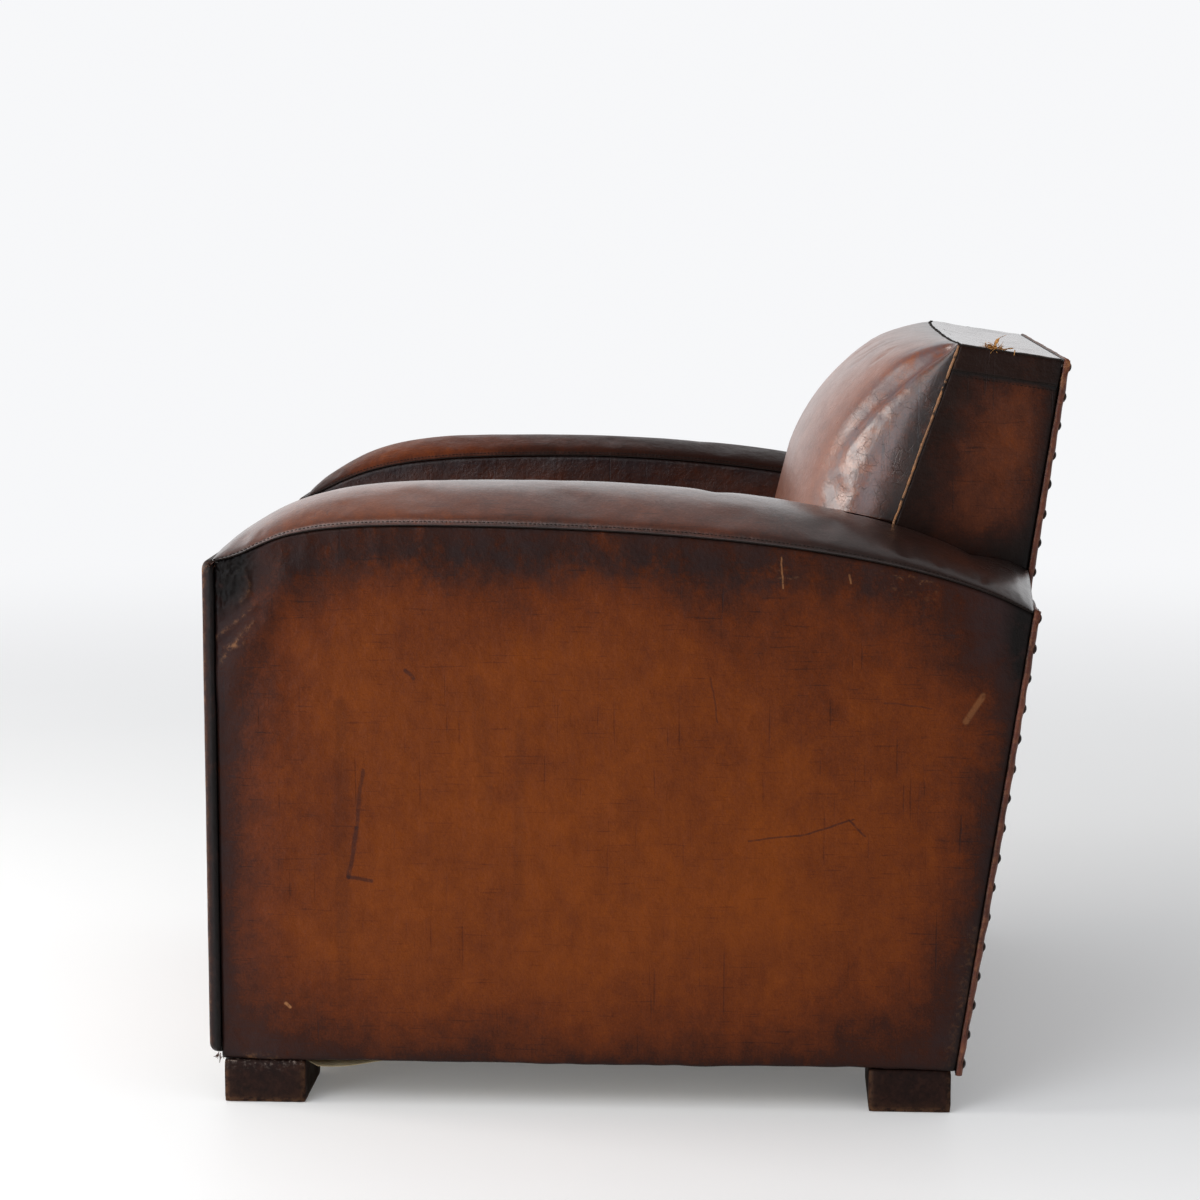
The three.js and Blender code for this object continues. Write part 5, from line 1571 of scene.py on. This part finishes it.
def dust_cover():
    """Hessian tacked under the rails, cut out round the feet and sagging a little."""
    low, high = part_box("dust_cover")
    front_foot, rear_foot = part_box("left_front_foot"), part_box("left_rear_foot")
    cell, room = 0.012, 0.0015
    xs = np.linspace(low.x, high.x, int((high.x - low.x) / cell))
    ys = np.linspace(low.y, high.y, int((high.y - low.y) / cell))
    x, y = np.meshgrid(xs, ys, indexing="ij")
    sag = 0.006 * np.sin(np.pi * (x - low.x) / (high.x - low.x)) * np.sin(np.pi * (y - low.y) / (high.y - low.y))
    sag += 0.009 * bell(np.abs(x) - 0.386, 0.03) * ease(-0.345, -0.325, y) * ease(-0.235, -0.31, y)
    z = high.z - 0.0006 - sag + 0.001 * ripple(places(x, y, 0), 0.1, 111, 2)
    points = places(x, y, np.maximum(z, low.z - 0.009)).reshape(-1, 3)
    faces = grid_quads(*x.shape)
    middles = points[faces].mean(1)
    between = (middles[:, 1] > front_foot[1].y + room) & (middles[:, 1] < rear_foot[0].y - room)
    faces = faces[(np.abs(middles[:, 0]) < front_foot[0].x - room) | between]
    used, faces = np.unique(faces, return_inverse=True)
    piece = new_piece("dust_cloth", points[used], faces.reshape(-1, 4))
    wall = piece.modifiers.new("wall", "SOLIDIFY")
    wall.thickness = 0.0009
    wall.offset = 0
    piece = plain_mesh(piece)
    dress(piece, hessian_weave(), "hessian", "dust_cover")


def deck():
    """The hessian over the sprung seat, under the cushion."""
    low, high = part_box("seat_deck")
    piece = rounded_block("seat_deck_cloth", low, high, 0.006, 0.03)
    dress(piece, hessian_weave(), "stuffing", "seat_deck")


# Seams, piping and frayed parts
def line_on_band(angle_shift, lift, sign, inner=False):
    """A line along an arm band beside one of its seams."""
    rear = INNER_EDGE[-1][0] - 0.1 if inner else ARM_REAR - 0.002
    ys = np.linspace(SIDE_FRONT + 0.002, rear, 260)
    angle = np.pi - angle_shift if inner else angle_shift
    line = arm_band_point(ys, np.full_like(ys, angle))
    line[:, 0] = (line[:, 0] + lift * math.cos(angle)) * sign
    line[:, 2] += lift * math.sin(angle)
    return line


def arm_seams():
    """A row of stitches along each seam of the arm bands, and in each seam a black cord that is painted shade in its
    groove.
    """
    black = shared("black_thread_and_shade", thread_and_shade_material)
    for side, sign in SIDES.items():
        rows = [line_on_band(0.17, 0.0004, sign, inner) for inner in (False, True)]
        stitches(f"{side}_arm_stitches", rows, black)
        grooves = [tube(line_on_band(0.02, -0.0005, sign, inner), 0.0008, 6) for inner in (False, True)]
        dress(joined(f"{side}_arm_seam_cord", grooves), black, "dark_leather")


def frayed(line, amount, seed):
    """The points of a line moved a little, as an old edge wanders."""
    return line + amount * np.stack([ripple(line, 0.012, seed + k, 3) for k in range(3)], -1)


def back_seams():
    """The piping up the back's sides and the seams of its bands and its top strip."""
    black = shared("black_thread_and_shade", thread_and_shade_material)

    def seam(name, line, amount, seed, radius):
        dress(joined(name, [tube(frayed(line, amount, seed), radius, 6)]), black, "dark_leather")

    for side, sign in SIDES.items():
        ws = np.linspace(TAPER_LOW + 0.02, BACK_TOP - 0.002, 200)
        line = from_back(sign * (HALF_BACK + 0.0002), front_v(ws) - 0.0012, ws)
        swell = 0.0013 + 0.0005 * ripple(line, 0.01, 131, 3)
        cord = joined(f"{side}_back_piping", [tube(frayed(line, 0.0005, 133), swell, 8)])
        p = positions(cord)
        paint_all(cord, patina=0 * p[:, 0], rub=ease(-0.6, 0.0, ripple(p, 0.012, 138, 3)),
                  soot=ease(0.4, 0.6, ripple(p, 0.012, 139, 3)))
        dress(cord, hide("pale_piping", bright="8c6548", middle="573524", roughness=0.5), "leather")
        vs = np.linspace(-BACK_TOP_DEPTH - 0.0045, -0.004, 60)
        # Painted shade: the black cords along the band seam and the top seam stand for the shade in their grooves.
        line = from_back(sign * (HALF_BACK + 0.0006), vs, BACK_TOP - 0.0284 + 0.0012)
        seam(f"{side}_back_band_seam", line, 0.0003, 137, 0.0009)
        line = from_back(sign * (HALF_BACK - 0.0001), vs, BACK_TOP - 0.0325)
        stitches(f"{side}_back_band_stitches", [line], black)
        vs = np.linspace(-BACK_TOP_DEPTH, -0.002, 60)
        line = from_back(sign * (HALF_BACK - 0.0012), vs, BACK_TOP - 0.0012)
        seam(f"{side}_back_top_seam", line, 0.0005, 139, 0.0013)
    xs = np.linspace(-HALF_BACK, HALF_BACK, 260)
    line = from_back(xs, -BACK_TOP_DEPTH - TOP_BOW * (1 - (xs / HALF_BACK) ** 4), BACK_TOP - 0.0008)
    seam("back_top_front_seam", line, 0.0009, 121, 0.0017)


def torn_corner():
    """The torn hole beside the back's top edge, with a curled flap and straw pushing out."""
    rng = np.random.default_rng(17)
    centre = np.array([0.269, -0.070, BACK_TOP + 0.0005])
    parts = []
    for _ in range(70):
        start = centre + rng.normal(0, (0.003, 0.0055, 0.0008))
        heading = rng.normal(0, 1, 3) * (0.7, 1.0, 0.6) + (0.5, 0.1, 0.1)
        heading /= np.linalg.norm(heading)
        curl = rng.normal(0, 0.6, 3)
        length = rng.uniform(0.003, 0.009)
        t = np.linspace(0, 1, 7)[:, None]
        line = start + heading * length * t + curl * length * t**2 * 0.6
        radius = rng.uniform(0.0003, 0.0007) * (1 - 0.5 * t[:, 0])
        parts.append(tube(from_back(*line.T), radius, 5))
    dress(joined("torn_corner_straw", parts), shared("straw", straw_material), "stuffing")
    flaps = []
    steps = np.linspace(0, 1, 16)
    for start, lean, rise, width in (((0.268, -0.076), 0.012, 0.016, 0.008), ((0.270, -0.064), 0.010, 0.004, 0.006),
                                     ((0.266, -0.070), -0.010, 0.004, 0.007)):
        rows = []
        for k in steps:
            half = width / 2 * (math.sin(math.pi * (0.12 + 0.8 * k)) ** 0.7) * (1 + 0.15 * math.sin(23 * k))
            twist = 0.5 + 0.9 * k
            x = start[0] + 0.004 * k
            v = start[1] + lean * k**0.8 + 0.0012 * math.sin(9 * k)
            w = BACK_TOP - 0.0005 + rise * (1 - (1 - k) ** 1.6)
            spread = np.array([math.cos(twist), math.sin(twist) * 0.5, 0.35]) * half
            rows.append([np.array([x, v, w]) - spread, np.array([x, v, w]) + spread])
        front = np.array(rows)
        behind = front + (0.0004, 0.0009, 0.0003)
        ring = np.concatenate([front, behind[:, ::-1]], 1)
        flaps.append(loft(from_back(*np.moveaxis(ring, -1, 0))))
    dress(joined("torn_corner_flap", flaps), shared("straw", straw_material), "leather")


def frayed_ends():
    """Torn ends of leather at the top and the foot of the arm facings."""
    rng = np.random.default_rng(23)
    for side, sign in SIDES.items():
        parts = []
        for place, count, fall in (((ARM_OUTER - 0.004, SIDE_FRONT - 0.002, FACING_LOW.z - 0.001), 16, -1.0),
                                   ((ARM_OUTER - 0.003, SIDE_FRONT - 0.004, FACING_HIGH.z - 0.006), 14, 0.6)):
            for _ in range(count):
                start = np.array(place) + rng.normal(0, (0.0015, 0.0014, 0.0015))
                heading = rng.normal(0, 0.5, 3) + (0.3, -0.1, fall)
                heading /= np.linalg.norm(heading)
                t = np.linspace(0, 1, 5)[:, None]
                line = start + heading * rng.uniform(0.002, 0.006) * t + rng.normal(0, 0.0012, 3) * t**2
                line[:, 0] *= sign
                parts.append(tube(line, rng.uniform(0.0003, 0.0006) * (1 - 0.6 * t[:, 0]), 5))
        piece = joined(f"{side}_facing_fray", parts)
        paint_evenly(piece, patina=0.6, rub=0.3)
        dress(piece, made_once["strip_leather"], "leather")


def carried_over():
    """Materials of the hidden frame, springs and cloths, which keep their solids."""
    wood = shared("old_beech", wood_material)
    steel = shared("spring_wire", steel_material)
    given = {"seat_webbing": weave("jute_webbing", *JUTE), "back_webbing": weave("back_jute_webbing", *JUTE, along=2),
             "seat_hessian": hessian_weave(), "back_hessian": weave("back_hessian_weave", *LINEN, along=2),
             "back_stuffing": shared("straw", straw_material)}
    for name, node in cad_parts.items():
        if node.hide_render:
            continue
        node.data.materials.clear()
        node.data.materials.append(given.get(name) or (steel if "_spring_" in name else wood))


# Stage
CAMERA_PLACE = (3.44881, 0.130895, 0.932456)
CAMERA_TURN = 0.05469862
CAMERA_DIP = 0.13274974
CAMERA_LENS = 92.4


def make_lamp(name, power, size, place, target, tint=(1.0, 1.0, 1.0)):
    data = bpy.data.lights.new(name, "AREA")
    data.shape = "RECTANGLE"
    data.size, data.size_y = size
    data.energy = power
    data.color = tint
    lamp = linked(name, data)
    lamp.location = place
    lamp.rotation_euler = (Vector(target) - Vector(place)).to_track_quat("-Z", "Y").to_euler()


def make_world(light):
    """Even light from all sides, before a pale backdrop that is dim where the camera stands."""
    world = bpy.data.worlds.new("studio")
    bpy.context.scene.world = world
    world.use_nodes = True
    tree = world.node_tree
    tree.nodes.clear()

    def add(kind, **settings):
        node = tree.nodes.new(kind)
        for key, value in settings.items():
            setattr(node, key, value)
        return node

    def join(kind, a, b):
        node = add("ShaderNodeMath", operation=kind)
        tree.links.new(a, node.inputs[0])
        tree.links.new(b, node.inputs[1])
        return node.outputs[0]

    def eased(value, *limits):
        node = add("ShaderNodeMapRange", interpolation_type="SMOOTHSTEP")
        tree.links.new(value, node.inputs[0])
        for socket, limit in zip(list(node.inputs)[1:5], limits):
            socket.default_value = limit
        return node.outputs[0]

    def background(tint):
        node = add("ShaderNodeBackground")
        node.inputs["Color"].default_value = (*tint, 1.0)
        return node

    path = add("ShaderNodeLightPath")
    mirrored = join("MAXIMUM", path.outputs["Is Glossy Ray"], path.outputs["Is Transmission Ray"])
    shown = join("MAXIMUM", path.outputs["Is Camera Ray"], mirrored)
    way = add("ShaderNodeSeparateXYZ")
    tree.links.new(add("ShaderNodeTexCoord").outputs["Generated"], way.inputs[0])
    dim = eased(way.outputs[0], -0.3, 0.35, 1.0, light.far_side)
    ceiling = eased(way.outputs[2], 0.25, 0.7, 1.0, light.ceiling)
    strength = join("MAXIMUM", join("MULTIPLY", dim, ceiling), path.outputs["Is Camera Ray"])
    fill = background((0.97, 0.985, 1.0))
    fill.inputs["Strength"].default_value = light.room
    pale = background(light.backdrop)
    tree.links.new(strength, pale.inputs["Strength"])
    mix = add("ShaderNodeMixShader")
    tree.links.new(shown, mix.inputs[0])
    tree.links.new(fill.outputs[0], mix.inputs[1])
    tree.links.new(pale.outputs[0], mix.inputs[2])
    tree.links.new(mix.outputs[0], add("ShaderNodeOutputWorld").inputs[0])


def stage():
    """The camera, the pale floor and the lamps."""
    light = bpy.context.scene.club_chair_light
    bpy.context.scene.view_settings.view_transform = "Standard"
    data = bpy.data.cameras.new("camera")
    data.lens = CAMERA_LENS
    data.sensor_width = 36.0
    data.clip_end = 60.0
    camera = linked("camera", data)
    heading = Vector((-math.cos(CAMERA_TURN) * math.cos(CAMERA_DIP),
                      -math.sin(CAMERA_TURN) * math.cos(CAMERA_DIP), -math.sin(CAMERA_DIP)))
    camera.location = CAMERA_PLACE
    camera.rotation_euler = heading.to_track_quat("-Z", "Y").to_euler()
    bpy.context.scene.camera = camera
    half = 30.0
    corners = [(-half, -half, 0), (half, -half, 0), (half, half, 0), (-half, half, 0)]
    floor = new_piece("floor", corners, [(0, 1, 2, 3)])
    n = Nodes("pale_floor", 0.55)
    cloud = n.noise(1.3, 4.0, 0.5)
    base = tuple(light.floor)
    stops = [(0.3, tuple(c * 0.975 for c in base) + (1.0,)), (0.7, base + (1.0,))]
    seen = n.add("ShaderNodeLightPath").outputs["Is Camera Ray"]
    n.shade({"Base Color": n.ramp(cloud, stops), "Emission Color": (1.0, 1.0, 1.0, 1.0),
             "Emission Strength": n.times(seen, light.glow)})
    away = n.add("ShaderNodeVectorMath", operation="LENGTH")
    n.put(away.inputs[0], n.place)
    fade_out = n.times(n.range(away.outputs["Value"], 1.0, 4.5), seen)
    backdrop = n.fed("ShaderNodeEmission", {"Color": (*light.backdrop, 1.0)})
    blend = n.add("ShaderNodeMixShader")
    for socket, value in zip(blend.inputs, (fade_out, n.shader.outputs[0], backdrop.outputs[0])):
        n.put(socket, value)
    n.put(n.tree.nodes["Material Output"].inputs["Surface"], blend.outputs[0])
    floor.data.materials.append(n.material)
    make_world(light)
    make_lamp("key", light.key_power, (2.4, 1.8), (2.6, -1.6, 2.6), (0.1, 0.0, 0.4))
    make_lamp("window", light.window_power, (1.5, 1.2), (0.35, -2.66, 1.6), (0.25, 0.21, 0.66), (1.0, 0.97, 0.92))
    make_lamp("side_window", light.side_power, (1.6, 1.9), (3.6, -2.5, 0.96), (0.3, 0.1, 0.6), (0.82, 0.9, 1.0))


class CLUB_CHAIR_OT_arms(bpy.types.Operator):
    """Dress both arms: band, outside, inside and facing"""

    bl_idname = "club_chair.arms"
    bl_label = "Arms"

    def execute(self, context):
        for side, sign in SIDES.items():
            outside_arm(side, sign)
            inside_arm(side, sign)
            facing(side, sign)
            arm_band(side, sign)
        return {"FINISHED"}


class CLUB_CHAIR_OT_seat(bpy.types.Operator):
    """Make the seat cushion, its piping and the border under it"""

    bl_idname = "club_chair.seat"
    bl_label = "Seat"

    def execute(self, context):
        front_border()
        seat_cushion()
        return {"FINISHED"}


class CLUB_CHAIR_OT_back(bpy.types.Operator):
    """Make the inside back, the sides and top of the back and the nailed outside back"""

    bl_idname = "club_chair.back"
    bl_label = "Back"

    def execute(self, context):
        inside_back()
        for side, sign in SIDES.items():
            back_side(side, sign)
        back_top()
        outside_back()
        return {"FINISHED"}


class CLUB_CHAIR_OT_base(bpy.types.Operator):
    """Make the feet, the dust cover and the seat deck"""

    bl_idname = "club_chair.base"
    bl_label = "Base"

    def execute(self, context):
        for side in SIDES:
            for end in ("front", "rear"):
                block_foot(f"{side}_{end}_foot")
        dust_cover()
        deck()
        return {"FINISHED"}


class CLUB_CHAIR_OT_seams(bpy.types.Operator):
    """Sew the seams, lay the piping and tear the worn corner"""

    bl_idname = "club_chair.seams"
    bl_label = "Seams"

    def execute(self, context):
        arm_seams()
        back_seams()
        torn_corner()
        frayed_ends()
        return {"FINISHED"}


class CLUB_CHAIR_OT_frame(bpy.types.Operator):
    """Finish the wooden frame, the springs and the cloths inside"""

    bl_idname = "club_chair.frame"
    bl_label = "Frame"

    def execute(self, context):
        carried_over()
        return {"FINISHED"}


class CLUB_CHAIR_OT_stage(bpy.types.Operator):
    """Set up the floor, the lamps and the camera"""

    bl_idname = "club_chair.stage"
    bl_label = "Stage"

    def execute(self, context):
        stage()
        return {"FINISHED"}


OPERATORS = (
    CLUB_CHAIR_OT_stage,
    CLUB_CHAIR_OT_arms,
    CLUB_CHAIR_OT_seat,
    CLUB_CHAIR_OT_back,
    CLUB_CHAIR_OT_base,
    CLUB_CHAIR_OT_seams,
    CLUB_CHAIR_OT_frame,
)


class CLUB_CHAIR_PT_panel(bpy.types.Panel):
    """Lists the pieces of the chair."""

    bl_label = "Club chair"
    bl_idname = "CLUB_CHAIR_PT_panel"
    bl_space_type = "VIEW_3D"
    bl_region_type = "UI"
    bl_category = "Club chair"

    def draw(self, context):
        for operator in OPERATORS:
            self.layout.operator(operator.bl_idname)
        for group in (context.scene.club_chair_sizes, context.scene.club_chair_light):
            for name in group.__annotations__:
                self.layout.prop(group, name)


CLASSES = (ChairSizes, StudioLight, *OPERATORS, CLUB_CHAIR_PT_panel)


def register():
    for item in CLASSES:
        bpy.utils.register_class(item)
    bpy.types.Scene.club_chair_sizes = PointerProperty(type=ChairSizes)
    bpy.types.Scene.club_chair_light = PointerProperty(type=StudioLight)


def unregister():
    del bpy.types.Scene.club_chair_light
    del bpy.types.Scene.club_chair_sizes
    for item in reversed(CLASSES):
        bpy.utils.unregister_class(item)


def main():
    register()
    for operator in OPERATORS:
        getattr(bpy.ops.club_chair, operator.bl_idname.split(".")[1])()


if __name__ == "__main__":
    main()
